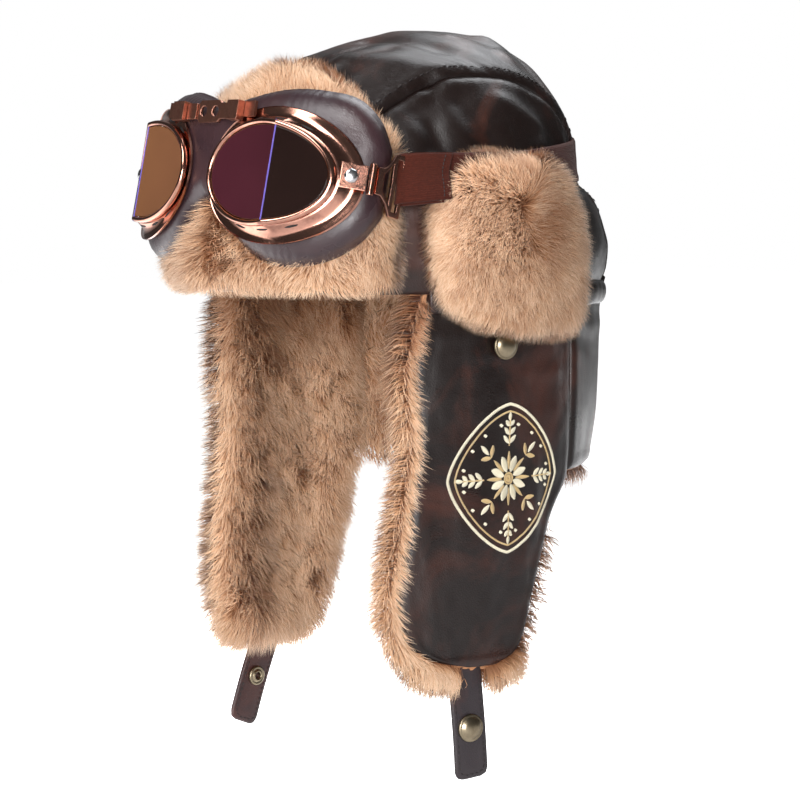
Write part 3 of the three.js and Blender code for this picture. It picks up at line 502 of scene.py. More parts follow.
def tarnish_group():
    """Aged plating: a broad patina mask, small spots and fine scratches as a height."""
    def build(tree, given):
        coord = object_coord(tree)
        broad = noise(tree, coord, Scale=given["Patches per metre"], Detail=6.0, Roughness=0.65)
        stretched = node(tree, "Mapping", Vector=coord, Scale=(400.0, 2600.0, 700.0))
        return {"Patina": ranged(tree, broad, 0.5, 0.8),
                "Spots": noise(tree, coord, Scale=900.0, Detail=3.0),
                "Scratches": noise(tree, stretched.outputs[0], Scale=1.0, Detail=2.0)}
    return effect_group("Tarnish", {"Patches per metre": 70.0},
                        ("Patina", "Spots", "Scratches"), build)


def made_once(build):
    """Lets a material's builder reuse the material of that name where there is one."""
    @functools.wraps(build)
    def found_or_built(name, *values, **named):
        return bpy.data.materials.get(name) or build(name, *values, **named)
    return found_or_built


def new_material(name):
    """An empty node material with a Principled BSDF; returns material, tree and shader."""
    material = bpy.data.materials.new(name)
    material.use_nodes = True
    tree = material.node_tree
    return material, tree, tree.nodes["Principled BSDF"]


def bump(tree, shader, height, strength, distance):
    """Feeds a height into the shader's Normal."""
    made = node(tree, "Bump", Height=height, Strength=strength, Distance=distance)
    put(shader, Normal=made.outputs[0])


@made_once
def leather_material(name, base, rub, light, roughness, pebbles, coat=0.0):
    """Grained leather: a dark base, reddish rubs and a lighter tone on the mottling."""
    material, tree, shader = new_material(name)
    grain = node(tree, "Group", node_tree=grain_group(), Pebbles_per_metre=pebbles).outputs
    rubbed = mix_color(tree, scaled(tree, grain["Rub"], 0.75), base, rub)
    toned = mix_color(tree, scaled(tree, grain["Mottle"], 0.35), rubbed, light)
    rough = ranged(tree, grain["Mottle"], 0.3, 0.7, roughness - 0.07, roughness + 0.09)
    put(shader, Base_Color=toned, Roughness=rough, Specular_IOR_Level=0.42, Coat_Weight=coat,
        Coat_Roughness=0.32)
    bump(tree, shader, grain["Height"], 0.2, 0.00035)
    return material


@made_once
def metal_material(name, bright, dark, roughness):
    """Plated metal: bright where rubbed, dark where tarnished, with fine scratches."""
    material, tree, shader = new_material(name)
    aged = node(tree, "Group", node_tree=tarnish_group()).outputs
    mixed = mix_color(tree, aged["Patina"], bright, dark)
    spotted = mix_color(tree, scaled(tree, aged["Spots"], 0.3), mixed, dark)
    rough = math_node(tree, "ADD", scaled(tree, aged["Patina"], 0.18), roughness)
    put(shader, Base_Color=spotted, Roughness=rough, Metallic=1.0)
    bump(tree, shader, aged["Scratches"], 0.12, 0.0002)
    return material


@made_once
def plain_material(name, color, roughness, spread=0.25, scale=600.0, sheen=0.0):
    """A small part's finish: one colour with noise in its tone and surface."""
    material, tree, shader = new_material(name)
    mottle = noise(tree, object_coord(tree), Scale=scale, Detail=4.0)
    dark = tuple(c * (1 - spread) for c in color)
    pale = tuple(min(1.0, c * (1 + spread)) for c in color)
    put(shader, Base_Color=mix_color(tree, mottle, dark, pale), Roughness=roughness,
        Sheen_Weight=sheen)
    bump(tree, shader, mottle, 0.25, 0.0003)
    return material


@made_once
def fur_material(name, root, middle, tip, shade):
    """Pile: UV x is a strand's tone and UV y the way from root to tip. The colour runs root,
    middle, tip along a strand: the darker root is partly the pile's own colour and partly painted
    shade deep in the pile. It is darkened by the shade colour where the tone is low."""
    material, tree, shader = new_material(name)
    uv = node(tree, "UVMap", uv_map="OFBake")
    parts = node(tree, "SeparateXYZ", Vector=uv.outputs[0]).outputs
    along = ramp(tree, parts["Y"], ((0.08, root), (0.5, middle), (0.92, tip)))
    toned = mix_color(tree, parts["X"], tuple(shade), (1.0, 1.0, 1.0))
    put(shader, Base_Color=mix_color(tree, 1.0, along, toned, "MULTIPLY"), Roughness=0.62,
        Specular_IOR_Level=0.28, Sheen_Weight=0.15, Sheen_Roughness=0.4)
    return material


@made_once
def elastic_material(name, color, dark):
    """Woven elastic: ribs along the strap's length and fine picks across, on the strap's UV,
    whose x runs along it and y across it in mm."""
    material, tree, shader = new_material(name)
    uv = node(tree, "UVMap", uv_map="Lay").outputs[0]
    parts = node(tree, "SeparateXYZ", Vector=uv).outputs
    ribs, picks = (math_node(tree, "SINE", scaled(tree, parts[axis], 2 * math.pi / pitch))
                   for axis, pitch in (("Y", 0.85), ("X", 0.55)))
    weave = scaled(tree, math_node(tree, "MULTIPLY", ribs, picks), 0.5)
    height = math_node(tree, "ADD", scaled(tree, ribs, 0.5), weave)
    # Painted shade: the colour is darker in the hollows of the weave and lighter on its ribs, with
    # random noise over it.
    shade = math_node(tree, "ADD", scaled(tree, height, 0.22),
                      noise(tree, uv, Scale=0.8, Detail=5.0), clamp=True)
    put(shader, Base_Color=mix_color(tree, shade, dark, color), Roughness=0.8,
        Sheen_Weight=0.08, Specular_IOR_Level=0.1)
    bump(tree, shader, height, 0.5, 0.0003)
    return material


@made_once
def lens_material(name, straight, slanted, grazing):
    """Tinted glass whose colour runs from straight on through slanted to grazing: the dark tints
    are the glass's own colour and the pale amber toward grazing angles is a painted reflection.
    """
    material, tree, shader = new_material(name)
    facing = node(tree, "LayerWeight", Blend=0.5).outputs["Facing"]
    # Painted reflection: the colour turns pale amber where the lens is seen at a grazing angle.
    tint = ramp(tree, facing, ((0.08, straight), (0.42, slanted), (0.75, grazing)))
    uneven = mix_color(tree, noise(tree, object_coord(tree), Scale=18.0, Detail=2.0),
                       (0.6, 0.6, 0.6), (1.2, 1.2, 1.2))
    put(shader, Base_Color=mix_color(tree, 1.0, tint, uneven, "MULTIPLY"), Roughness=0.05,
        IOR=1.45, Specular_IOR_Level=0.35)
    return material


# Crown

def panel_edge(y):
    """Half width of the crown's middle panel seen from above: a cos^2 swell on a straight edge."""
    along = np.clip((y - PANEL_WIDEST) / (RIM_BACK - 7.5), -1, 1)
    return PANEL_HALF_WIDTH + PANEL_BULGE * np.cos(along * math.pi / 2) ** 2


def outside_shell(x, y, z):
    """Above 0 outside the shell's oval at z, below 0 inside."""
    side, length, middle = ring(z)
    inside = (x / np.maximum(side, 1e-6)) ** 2 + ((y - middle) / np.maximum(length, 1e-6)) ** 2 - 1
    return np.where(z > CROWN_HEIGHT, 1.0, inside)


def halved(place, low, high, rounds=36):
    """The reach at which place(reach) leaves the shell, by halving."""
    low, high = np.broadcast_arrays(low, high)
    low, high = low.astype(float), high.astype(float)
    for _ in range(rounds):
        middle = (low + high) / 2
        out = outside_shell(*place(middle)) > 0
        high = np.where(out, middle, high)
        low = np.where(out, low, middle)
    return low


def panel_point(climb, across, past=0.0):
    """A point of the crown where climb turns from the front rim at 0 over the top to the rear
    rim at pi, and across is -1 and 1 at the two long seams, past mm beyond them."""
    def place(reach):
        y = -reach * np.cos(climb)
        return across * (panel_edge(y) + past), y, reach * np.sin(climb)
    reach = halved(place, np.zeros(np.broadcast(climb, across).shape), PAST_SHELL)
    return np.stack(np.broadcast_arrays(*place(reach)), -1)


def side_point(climb, rise):
    """A point of the left side panel: rise runs from the rim at 0 to the seam at 1."""
    seam = panel_point(climb, np.ones_like(climb), GAP / 2)
    first, last = seam[..., 1].min(), panel_point(np.array([math.pi]), np.ones(1))[0, 1]
    y = lerp(first, last, 0.5 - 0.5 * np.cos(climb))
    foot = head_point(turn_at(y, np.zeros_like(y)), np.zeros_like(y))
    aim = unit(lerp(unit(foot), unit(seam), rise[..., None]))
    reach = halved(lambda r: tuple(aim[..., k] * r for k in range(3)), np.zeros(rise.shape),
                   PAST_SHELL)
    return aim * reach[..., None]


def leather_relief(points, seed):
    """How far leather stands off its smooth form: folds, creases and soft waves, in mm."""
    relief = near_lines(points, FOLDS) + 1.15 * near_lines(points, CREASES)
    return relief + 0.5 * ripple(points, 34, seed) + 0.13 * ripple(points, 13, seed + 1)


def seam_relief(away, along, seed):
    """A seam in leather: a groove at the seam, a soft roll beside it and puckers that die off."""
    phase = np.random.default_rng(seed).uniform(0, 6)
    pucker = np.sin(along * 2 * math.pi / 6.5 + phase + 1.5 * np.sin(along / 11))
    groove = -1.5 * np.exp(-(away / 1.6) ** 2)
    roll = 0.7 * np.exp(-((away - 5) / 3) ** 2)
    fading = np.exp(-np.maximum(away - 2.5, 0) / 5) * smooth(away, 0.5, 2.5)
    return groove + roll + 0.45 * pucker * fading


def crown_piece(name, points, relief, material, replaces):
    """A leather wall with its outer face raised by relief and its inner face LEATHER deep."""
    normals = grid_normals(points, np.zeros(3))
    outer = points + normals * relief[..., None]
    inner = points + normals * (near_lines(points, FOLDS) - LEATHER)[..., None]
    inner[..., 2] = np.maximum(inner[..., 2], 0)
    add_closed(name, wall(outer, inner), material, "leather", replaces)


def length_along(line):
    """Distance from the start along each row's line of points."""
    steps = np.linalg.norm(np.diff(line, axis=0), axis=-1)
    return np.concatenate([np.zeros_like(steps[:1]), np.cumsum(steps, 0)])


def build_crown(leather):
    """The middle panel and the two side panels of the crown."""
    climb, across = grid_of(np.linspace(0, math.pi, 160), np.linspace(-1, 1, 85))
    points = panel_point(climb, across, -GAP / 2)
    away = (1 - np.abs(across)) * panel_edge(points[..., 1])
    relief = leather_relief(points, 3) + seam_relief(away, length_along(points), 5)
    crown_piece("crown_middle_panel", points, relief, leather, ["crown_centre"])
    climb, rise = grid_of(np.linspace(0.004, math.pi - 0.004, 128), np.linspace(0, 1, 54) ** 0.9)
    points = side_point(climb, rise)
    points[..., 2] = np.maximum(points[..., 2], 0)
    along = length_along(points) + 30
    away = np.linalg.norm(points - points[:, -1:], axis=-1)
    for side, name in SIDES:
        place = sided(points, side)
        relief = leather_relief(place, 7 + side) + 0.7 * seam_relief(away, along, 8 + side)
        crown_piece(f"crown_panel_{name}", place, relief, leather, [f"crown_side_{name}"])


# Pitch, length, width and rise of a stitch in mm
CROWN_STITCH = 3.4, 2.7, 0.55, 0.25
CHIN_STITCH = 2.9, 2.2, 0.55, 0.2
STRAP_STITCH = 1.9, 1.6, 0.5, 0.2
STITCH_LINE = 4.2


def stitch_shape(length, width, rise):
    """A short thread that dips at both ends: a six sided tube along x, z up."""
    t = np.linspace(-1, 1, 5)
    radius = np.array([0.3, 0.9, 1.0, 0.9, 0.3]) * width / 2
    angles = np.linspace(0, 2 * math.pi, 7)[:-1]
    y = radius[:, None] * np.cos(angles)
    z = rise * (1 - t[:, None] ** 2) - 0.1 + radius[:, None] * np.sin(angles)
    x = np.broadcast_to(t[:, None] * length / 2, y.shape)
    points, faces = loft(np.stack([x, y, z], -1))
    return points, outward(points, faces)


def stitches_along(line, normals, pitch, length, width, rise):
    """Stitches laid every pitch mm along a line of points, standing on its normals."""
    travelled = length_along(line)
    marks = np.arange(pitch / 2, travelled[-1], pitch)
    at = lambda values: np.stack([np.interp(marks, travelled, values[:, k]) for k in range(3)], -1)
    ahead = unit(at(np.gradient(line, axis=0)))
    up = unit(at(normals))
    side = unit(np.cross(up, ahead))
    places = np.stack([at(line), ahead, side, np.cross(ahead, side)], 1)
    return repeated(*stitch_shape(length, width, rise), places)


def joined(parts):
    """Several sets of points and faces as one, each face row padded to the same width."""
    points, faces, start = [], [], 0
    for p, f in parts:
        if f.shape[1] == 3:
            f = np.concatenate([f, f[:, 2:]], 1)
        points.append(p)
        faces.append(f + start)
        start += len(p)
    return np.concatenate(points), np.concatenate(faces)


def build_crown_stitches(thread):
    """Topstitching on the middle panel beside both long seams."""
    climb = np.linspace(0.12, math.pi - 0.16, 260)
    parts = []
    for side, _ in SIDES:
        seam = np.full_like(climb, side)
        line, beside = (panel_point(climb, seam, -STITCH_LINE - k) for k in (0, 1))
        normals = grid_normals(np.stack([line, beside], 1), np.zeros(3))[:, 0]
        away = np.full(len(line), STITCH_LINE)
        relief = leather_relief(line, 3) + seam_relief(away, length_along(line), 5)
        line = line + normals * (relief + 0.05)[:, None]
        parts.append(stitches_along(line, normals, *CROWN_STITCH))
    add_piece("crown_stitches", *joined(parts), thread, "leather")


# Skirt: band, ear flaps and neck flap

def build_band(leather):
    """The rolled band over the seam between crown and flaps: half a tube, creased across."""
    end = turn_at(-FLAP_FORWARD * FLAP[0, 1], np.zeros(1))[0]
    turn, a = grid_of(np.linspace(-end, end, 420), np.linspace(-0.12, math.pi + 0.12, 15))
    crease = 0.35 * np.sin(turn * 64 + 2 * np.sin(turn * 9)) + 0.3 * np.sin(turn * 27 + 1)
    out = SEAT + (BAND_DEPTH + crease * 0.8) * np.sin(a)
    z = -3 + BAND_HEIGHT / 2 * np.cos(a) + 0.35 * np.sin(turn * 15)
    loops = head_point(turn, z, np.maximum(out, 0.35))
    add_closed("crown_band", loft(loops), leather, "leather", ["crown_hem_band"])


def flap_edges(down):
    """Front and rear y of an ear flap at each share of its drop."""
    return -table_value(FLAP, down, 1) * FLAP_FORWARD, table_value(FLAP, down, 2) * FLAP_REARWARD


def on_flap(y, z, out=0.0, side=1):
    """A point of an ear flap's outer face at y and z."""
    return sided(level_point(turn_at(y, z), z, out), side)


def flap_relief(y, z, seed):
    """Soft waves of a hanging flap: long upright ones, a few slack creases below the crown."""
    place = np.stack([y * 1.6, z * 0.45, np.full_like(y, seed * 40.0)], -1)
    slack = ripple(np.stack([y * 0.5, z * 1.7, np.full_like(y, seed * 9.0)], -1), 26, seed + 4)
    return (0.75 * ripple(place, 40, seed) + 0.45 * slack * smooth(z, -95, -20)
            + 0.15 * ripple(place, 9, seed + 2))


def turned_edge(away, lip):
    """A turned leather edge: it rounds off over 2.6 mm, with a lip of that height inward."""
    return -1.3 * (1 - rounded(away, 2.6)) + lip * np.exp(-((away - 4.5) / 2.2) ** 2)


def build_ear_flap(leather, side, name):
    """The leather of an ear flap: a wall with turned edges and soft waves."""
    t = np.linspace(0, 1, 104)
    down, u = grid_of(1 - (1 - t) ** 1.35, np.linspace(0, 1, 56))
    front, rear = flap_edges(down)
    rear = np.minimum(rear, FLAP_REARWARD) - GAP / 2
    y, z = lerp(front, rear, u), -down * FLAP_DROP - GAP
    edge = np.minimum(np.minimum(u, 1 - u) * (rear - front), (1 - down) * FLAP_DROP * 1.2)
    outer = on_flap(y, z, flap_relief(y, z, 21 + side) + turned_edge(edge, 0.35), side)
    inner = on_flap(y, z, np.full(y.shape, -LEATHER), side)
    add_closed(f"ear_flap_leather_{name}", wall(outer, inner), leather, "leather",
               [f"ear_flap_{name}"])


def build_neck_flap(leather):
    """The leather of the neck flap, with slack creases under the band."""
    v, u = grid_of(np.linspace(0, 1, 50), np.linspace(0, 1, 120))
    z = lerp(-GAP, -NECK_DROP, v)
    end = turn_at(np.full_like(z, FLAP_REARWARD + GAP / 2), z)
    turn = lerp(end, -end, u)
    away = np.minimum(np.minimum(u, 1 - u) * end * 200, (1 - v) * NECK_DROP)
    place = head_point(turn, z)
    slack = ripple(place * np.array([0.5, 0.5, 1.8]), 24, 31) * smooth(z, -60, -8)
    waves = 0.7 * ripple(place * np.array([1.4, 1.4, 0.5]), 36, 33)
    outer = level_point(turn, z, waves + 0.6 * slack + turned_edge(away, 0.3))
    inner = level_point(turn, z, np.full(z.shape, -LEATHER))
    add_closed("neck_flap_leather", wall(outer, inner), leather, "leather", ["neck_flap"])


# Fur

LINING_DEPTH, NECK_DEPTH, PAD_RISE = 11.5, 8.0, 6.0
STRAND_HEIGHTS = np.array([0.02, 0.02, 0.5, 0.5, 0.98])
STRAND_BLADE = np.array([[0, 1, 3], [0, 3, 2], [2, 3, 4]])


def strands_on(grid, normals, rng, count, length, width, lean, comb, tone, keep, locks=0.3):
    """Tapered blades on a grid of root points with its normals. A cell is drawn by its area,
    more where it is turned off the grid's mean; the root lies in it by two random shares. A
    strand runs up its normal, leans along comb and with its lock, and bends once on its way to
    a point. Returns points, triangles, UV and shading normals."""
    cross = np.cross(grid[1:, :-1] - grid[:-1, :-1], grid[:-1, 1:] - grid[:-1, :-1])
    turned_off = 1 - normals[:-1, :-1] @ unit(normals.mean((0, 1)))
    area = (np.linalg.norm(cross, axis=-1) * (0.6 + 1.2 * turned_off)).ravel()
    cell = rng.choice(len(area), count, p=area / area.sum())
    row, column = np.divmod(cell, grid.shape[1] - 1)
    a, b = rng.random((2, count, 1))

    def mixed(values):
        low = values[row, column] * (1 - b) + values[row, column + 1] * b
        high = values[row + 1, column] * (1 - b) + values[row + 1, column + 1] * b
        return low * (1 - a) + high * a
    root, up = mixed(grid), unit(mixed(normals))
    lay = comb(root, up)
    lay = unit(lay - up * np.sum(lay * up, -1, keepdims=True))
    lock, fine = ripples(root, 10, (71, 72, 73)), ripples(root, 4, (75, 76, 77))
    loose = rng.normal(size=(count, 3))
    start = unit(up + lean * 0.5 * lay + 0.5 * locks * lock + 0.14 * loose)
    end = unit(up * (1 - lean * 0.6) + lean * lay + locks * (lock + 0.8 * fine) + 0.18 * loose)
    reach = length * (1 - 0.35 * rng.random(count) ** 1.5) * (1 + 0.1 * ripple(root, 16, 79))
    reach = np.maximum(reach, length * 0.35)[:, None]
    thick = (width * rng.uniform(0.7, 1.25, count))[:, None]
    away = unit(root * LEVEL)
    facing = np.clip(np.sum(up * away, -1, keepdims=True) - 0.1, -0.5, 0.5)
    front = unit(up + 1.2 * facing * away)
    across = unit(np.cross(start + end, front + 0.25 * loose[:, ::-1])) * thick
    middle = root + start * reach * 0.5
    tip = middle + end * reach * 0.5
    points = np.stack([root - across * 0.5, root + across * 0.5, middle - across * 0.42,
                       middle + across * 0.42, tip], 1)
    rounding = 0.5 * np.array([*STRAND_HEIGHTS[:-1], 1.0])[:, None]
    soft = unit(front[:, None] + rounding * end[:, None] + 0.06 * loose[:, None])
    shade = tone(root) + rng.normal(0, 0.17, count) + 0.14 * ripple(root, 6, 83)
    shade = np.clip(shade, 0.02, 0.98)
    uv = np.stack(np.broadcast_arrays(shade[:, None], STRAND_HEIGHTS), -1)
    kept = keep(root, tip)
    points, soft, uv = points[kept], soft[kept], uv[kept]
    front = np.cross(points[:, 1] - points[:, 0], points[:, 3] - points[:, 0])
    turned = np.sum(front * soft[:, 2], -1) < 0
    faces = STRAND_BLADE + (np.arange(len(points)) * len(STRAND_HEIGHTS))[:, None, None]
    faces[turned] = faces[turned][:, :, ::-1]
    return points.reshape(-1, 3), faces.reshape(-1, 3), uv.reshape(-1, 2), soft.reshape(-1, 3)


SKIN_UV = 0.55, 0.4


def fur_piece(name, skin, pile, material, replaces):
    """A fur pad: its closed skin and its strands in one mesh, with one UV map. The skin has the
    middling tone and height of SKIN_UV, so that it is a little darker than the strands."""
    skin_points, skin_faces = skin[0], outward(*skin)
    points, faces, uv, normals = pile
    skin_normals = np.zeros_like(skin_points)
    a, b, c = (skin_points[skin_faces[:, k]] for k in range(3))
    np.add.at(skin_normals, skin_faces[:, 0], np.cross(b - a, c - a))
    skin_uv = np.tile(SKIN_UV, (len(skin_points), 1))
    body, quads = joined([(skin_points, skin_faces), (points, faces)])
    add_piece(name, body, quads, material, "fur", replaces, uv=np.concatenate([skin_uv, uv]),
              uv_name="OFBake", normals=np.concatenate([unit(skin_normals), normals]))


def near_edge(share):
    """How far a share from 0 to 1 is from the nearer end."""
    return np.minimum(share, 1 - share)


def edge_spaced(count, reach=0.16):
    """Shares from 0 to 1 that lie closer at both ends."""
    t = np.linspace(0, 1, count)
    return t - reach * np.sin(2 * math.pi * t) / (2 * math.pi) * 1.9


def combed(direction, swirl=0.5, seed=90):
    """A comb: strands lean along one direction, turned by slow noise."""
    def comb(root, up):
        return np.asarray(direction, float) + swirl * ripples(root, 60, range(seed, seed + 3))
    return comb


def pile_tone(low, high, seed, length=42):
    """Broad light and dark patches of a pile, from low to high, with smaller ones in them."""
    def tone(root):
        broad = 0.5 + 0.4 * ripple(root, length, seed) + 0.2 * ripple(root, 11, seed + 3)
        return lerp(low, high, np.clip(broad, 0, 1))
    return tone


def rolled(share, zone):
    """A rolled edge in cross-section: for a share from 0 to 1, how far it stands past the edge
    at 0 or 1 (at most 1, minus at 0) and its depth from 0 to 1. The roll is an arc from 70
    degrees below the level to straight up."""
    below = math.radians(70)
    angle = lerp(-below, math.pi / 2, np.clip(near_edge(share) / zone, 0, 1))
    past = np.cos(angle) * np.where(share < 0.5, -1, 1)
    return past, (np.sin(angle) + math.sin(below)) / (1 + math.sin(below))


def inside_leather(points, front, rear, low, slack=1.0):
    """Whether points lie outward of the leather's inner face within its edges."""
    def outside(grow):
        share = np.array([1 + grow / RIM_HALF_WIDTH, 1 + grow / RIM_BACK, 1])
        return outside_shell(*(points * share).T)
    _, y, z = points.T
    between = (y > front + slack) & (y < rear - slack) & (z > low + slack)
    return (outside(3.2) > 0) & (outside(-1) < 0) & between


def build_flap_lining(fur, side, name, count, length, width):
    """The fur inside an ear flap: a pad with rolled edges on the leather's inner face, its pile
    standing inward and past the leather's front, rear and hem."""
    down, u = grid_of(edge_spaced(84, 0.12), edge_spaced(56, 0.15))
    past_y, deep_y = rolled(u, 0.15)
    past_z, deep_z = rolled(down, 0.05)
    z = -FLAP_DROP * down - GAP - 5.5 * past_z * (down > 0.5)
    deep_z = np.where(down > 0.5, deep_z, 1)
    front, rear = flap_edges(down)
    rear = np.minimum(rear, FLAP_REARWARD)
    free = smooth(-z, NECK_DROP + 11, NECK_DROP + 30)
    y = lerp(front + 2, rear - 2, u) + np.where(u < 0.5, 8.5, 1 + 5.5 * free) * past_y
    lumps = 1 + 0.12 * ripple(np.stack([y, z, np.zeros_like(y)], -1), 24, 50 + side)
    depth = 0.4 + LINING_DEPTH * deep_y * deep_z * lumps
    inner = level_point(turn_at(y, z), z, -LEATHER - SEAT - depth)
    back_y, back_z = lerp(front + 3, rear - 3, u), -(FLAP_DROP - 3) * down - GAP
    back = level_point(turn_at(back_y, back_z), back_z, np.full(z.shape, -LEATHER - SEAT))
    inner, back = sided(inner, side), sided(back, side)
    cover = inner.copy()
    cover[:, 0], cover[:, -1], cover[-1] = back[:, 0], back[:, -1], back[-1]
    rng = np.random.default_rng(60 + side)
    normals = grid_normals(cover, back.mean((0, 1)) + np.array([30.0 * side, 0, 0]))

    def within(points, slack):
        front, rear = flap_edges(np.clip(-points[:, 2] / FLAP_DROP, 0, 1))
        return inside_leather(points, front, np.minimum(rear, FLAP_REARWARD), -FLAP_DROP, slack)

    origin, ways = chin_frame(name)

    def keep(root, tip):
        low = (tip - origin) @ ways.T
        before_strap = (np.abs(low[:, 1]) < CHIN_WIDTH / 2 + 1) & (low[:, 0] > -1)
        hidden = within(tip, 1.0) | within(root * np.array([1.02, 1.02, 1]), 0.2)
        return (tip[:, 2] < 2) & ~hidden & ~before_strap

    # Painted shade: the pile is darker toward the top of the flap, where it lies in shade inside
    # the helmet.
    def tone(root):
        return pile_tone(0.75, 1.0, 52 + side)(root) - 0.7 * smooth(root[:, 2], -60, -5)

    def comb(root, up):
        away = unit(root * LEVEL)
        over = smooth(np.sum(up * away, -1), 0.0, 0.6)[:, None]
        free = smooth(root[:, 2:], -FLAP_DROP, -FLAP_DROP + 14)
        back = free * np.where(root[:, 1:2] < 0, 1.4, -1.4) * np.array([0, 1.0, 0])
        hanging = combed((0, -0.35, -1.0), 0.9, 90 + side)(root, up)
        return lerp(hanging, 0.6 * away + back + np.array([0, 0, -0.8]), over)
    pile = strands_on(cover, normals, rng, count, length, width, 0.62, comb, tone, keep, 0.2)
    fur_piece(f"fur_lining_{name}", wall(inner, back), pile, fur, [f"flap_lining_{name}"])


def build_neck_fur(fur, count, length, width):
    """The fur inside the neck flap."""
    v, u = grid_of(edge_spaced(34, 0.12), np.linspace(0, 1, 72))
    z = lerp(-GAP, -NECK_DROP - 1, v)
    end = turn_at(np.full_like(z, FLAP_REARWARD + GAP), z)
    turn = lerp(end, -end, u)
    lumps = 1 + 0.12 * ripple(head_point(turn, z), 22, 57)
    depth = 1.5 + NECK_DEPTH * rounded(np.minimum(v * 1.6, 1 - v), 0.14) * lumps
    inner = level_point(turn, z, -LEATHER - SEAT - depth)
    back = level_point(turn, z, np.full(z.shape, -LEATHER - SEAT))
    normals = unit(inner * np.array([-1, -1, 0]) + np.array([0, 12, 0]))
    low = (1 - rounded(1 - v, 0.12))[..., None]
    hem = np.array([0, 0, -1.2]) + 0.9 * unit(inner * LEVEL)
    normals = unit(normals * (1 - 1.6 * low) + low * hem)
    pile = strands_on(inner, normals, np.random.default_rng(64), count, length, width, 0.6,
                      combed((0, 0, -1), 0.7, 95), pile_tone(0.2, 0.9, 58),
                      lambda root, tip: tip[:, 2] < 2)
    fur_piece("fur_neck", wall(inner, back), pile, fur, ["neck_lining"])


VISOR_HALF_TURN = math.radians(53)


VISOR_TOP, VISOR_END_TOP = 109.0, 74.0


def build_visor(fur, count, length, width):
    """The turned up fur visor over the forehead, pressed flat where the goggles rest on it."""
    v, u = grid_of(edge_spaced(46, 0.12), edge_spaced(84, 0.1))
    across = 2 * u - 1
    top = lerp(VISOR_TOP, VISOR_END_TOP, np.abs(across) ** 2.2) - 3
    z = lerp(4.0, top, v)
    turn = math.pi + across * (VISOR_HALF_TURN - 0.03)
    swell = rounded(near_edge(u), 0.1) * rounded(near_edge(v), 0.12)
    lumps = 1 + 0.15 * ripple(head_point(turn, z), 20, 55)
    face = head_point(turn, z, 1.5 + PAD_RISE * swell * lumps)
    depth = pad_depth(to_goggles(face))
    sunk = np.where(depth > -1.5, np.minimum(depth + 1.5, 5.5), 0)
    face = face - head_normal(turn, z) * sunk[..., None]
    normals = grid_normals(face, np.array([0, 0, 50]))
    rim = (1 - rounded(near_edge(u), 0.08))[..., None]
    sideways = unit(np.gradient(face, axis=1)) * np.sign(across)[..., None]
    upward = (1 - rounded(1 - v, 0.1))[..., None] * np.array([0, 0, 1.2])
    downward = (1 - rounded(v, 0.12))[..., None] * np.array([0, 0, -1.2])
    normals = unit(normals + 1.1 * rim * sideways + upward + downward)

    def comb(root, up):
        lift = lerp(-0.8, 1.0, smooth(root[:, 2], 45, 85))
        way = np.stack([0.25 * np.sign(root[:, 0]), np.zeros(len(root)), lift], -1)
        return way + 0.6 * ripples(root, 45, (97, 98, 99))

    def keep(root, tip):
        place = to_goggles(tip)
        return (pad_depth(place) < 0.3) & (tip[:, 2] > -3) & ~in_hardware(place)
    pile = strands_on(face, normals, np.random.default_rng(66), count, length, width, 0.6,
                      comb, pile_tone(0.4, 1.0, 59), keep, 0.16)
    skin = wall(face, head_point(turn, z, SEAT))
    fur_piece("fur_visor_pile", skin, pile, fur, ["fur_visor"])


PATCH = np.array([
    [-0.3, -0.05, 0.78], [-0.23, 0.24, 0.93], [-0.12, 0.7, 1], [0.04, 0.9, 1], [0.3, 0.97, 0.98],
    [0.58, 0.95, 0.91], [0.79, 0.86, 0.76], [0.93, 0.66, 0.5], [1, 0.4, 0.2],
])
PATCH_TOP = 63.0
PATCH_FORWARD = 57.0
PATCH_REARWARD = 32.0


def build_patch(fur, side, name, count, length, width):
    """The fur patch over an ear: a pad whose pile lies down and away from its middle."""
    v, u = grid_of(edge_spaced(44, 0.12), edge_spaced(44, 0.14))
    up = lerp(-0.26, 0.965, v)
    front = -table_value(PATCH, up, 1) * PATCH_FORWARD + 3.5
    rear = table_value(PATCH, up, 2) * PATCH_REARWARD - 3.5
    y, z = lerp(front, rear, u), up * PATCH_TOP
    swell = rounded(near_edge(u), 0.2) * rounded(near_edge(v), 0.18)
    turn = turn_at(y, z)
    lift = BAND_DEPTH + 1.6
    face = head_point(turn, z, lift + 1 + PAD_RISE * swell)
    back = head_point(turn, z, np.full(z.shape, lift))
    face, back = sided(face, side), sided(back, side)
    normals = grid_normals(face, back.mean((0, 1)) * np.array([0.5, 1, 1]))
    over = [1.2 * (1 - rounded(near_edge(share), zone))[..., None]
            * unit(np.gradient(face, axis=axis)) * np.sign(share - 0.5)[..., None]
            for share, zone, axis in ((u, 0.16, 1), (v, 0.14, 0))]
    normals = unit(normals + over[0] + over[1])
    middle = face.mean((0, 1))

    def comb(root, up):
        from_middle = unit((root - middle) * np.array([0.2, 1, 1]))
        return (0.75 * from_middle + np.array([0, -0.15, -0.75])
                + 0.35 * ripples(root, 40, (101, 102, 103)))

    # Painted shade: a darker blob a little above and behind the middle of the pad, where the pile
    # parts and its depth lies in shade; random tone runs over it.
    def tone(root):
        off = (root - middle - np.array([0, 8, 10])) / np.array([1, 14, 17])
        dark = np.exp(-(off[:, 1] ** 2 + off[:, 2] ** 2))
        return 0.66 - 0.6 * dark + 0.16 * ripple(root, 14, 61)
    pile = strands_on(face, normals, np.random.default_rng(68 + side), count, length, width,
                      0.66, comb, tone,
                      lambda root, tip: np.abs(tip[:, 0]) > np.abs(root[:, 0]) - 7, 0.14)
    fur_piece(f"fur_patch_{name}", wall(face, back), pile, fur, [f"ear_patch_{name}"])


# Goggles: x to the left, y backward from the cushion's back, z up the lenses

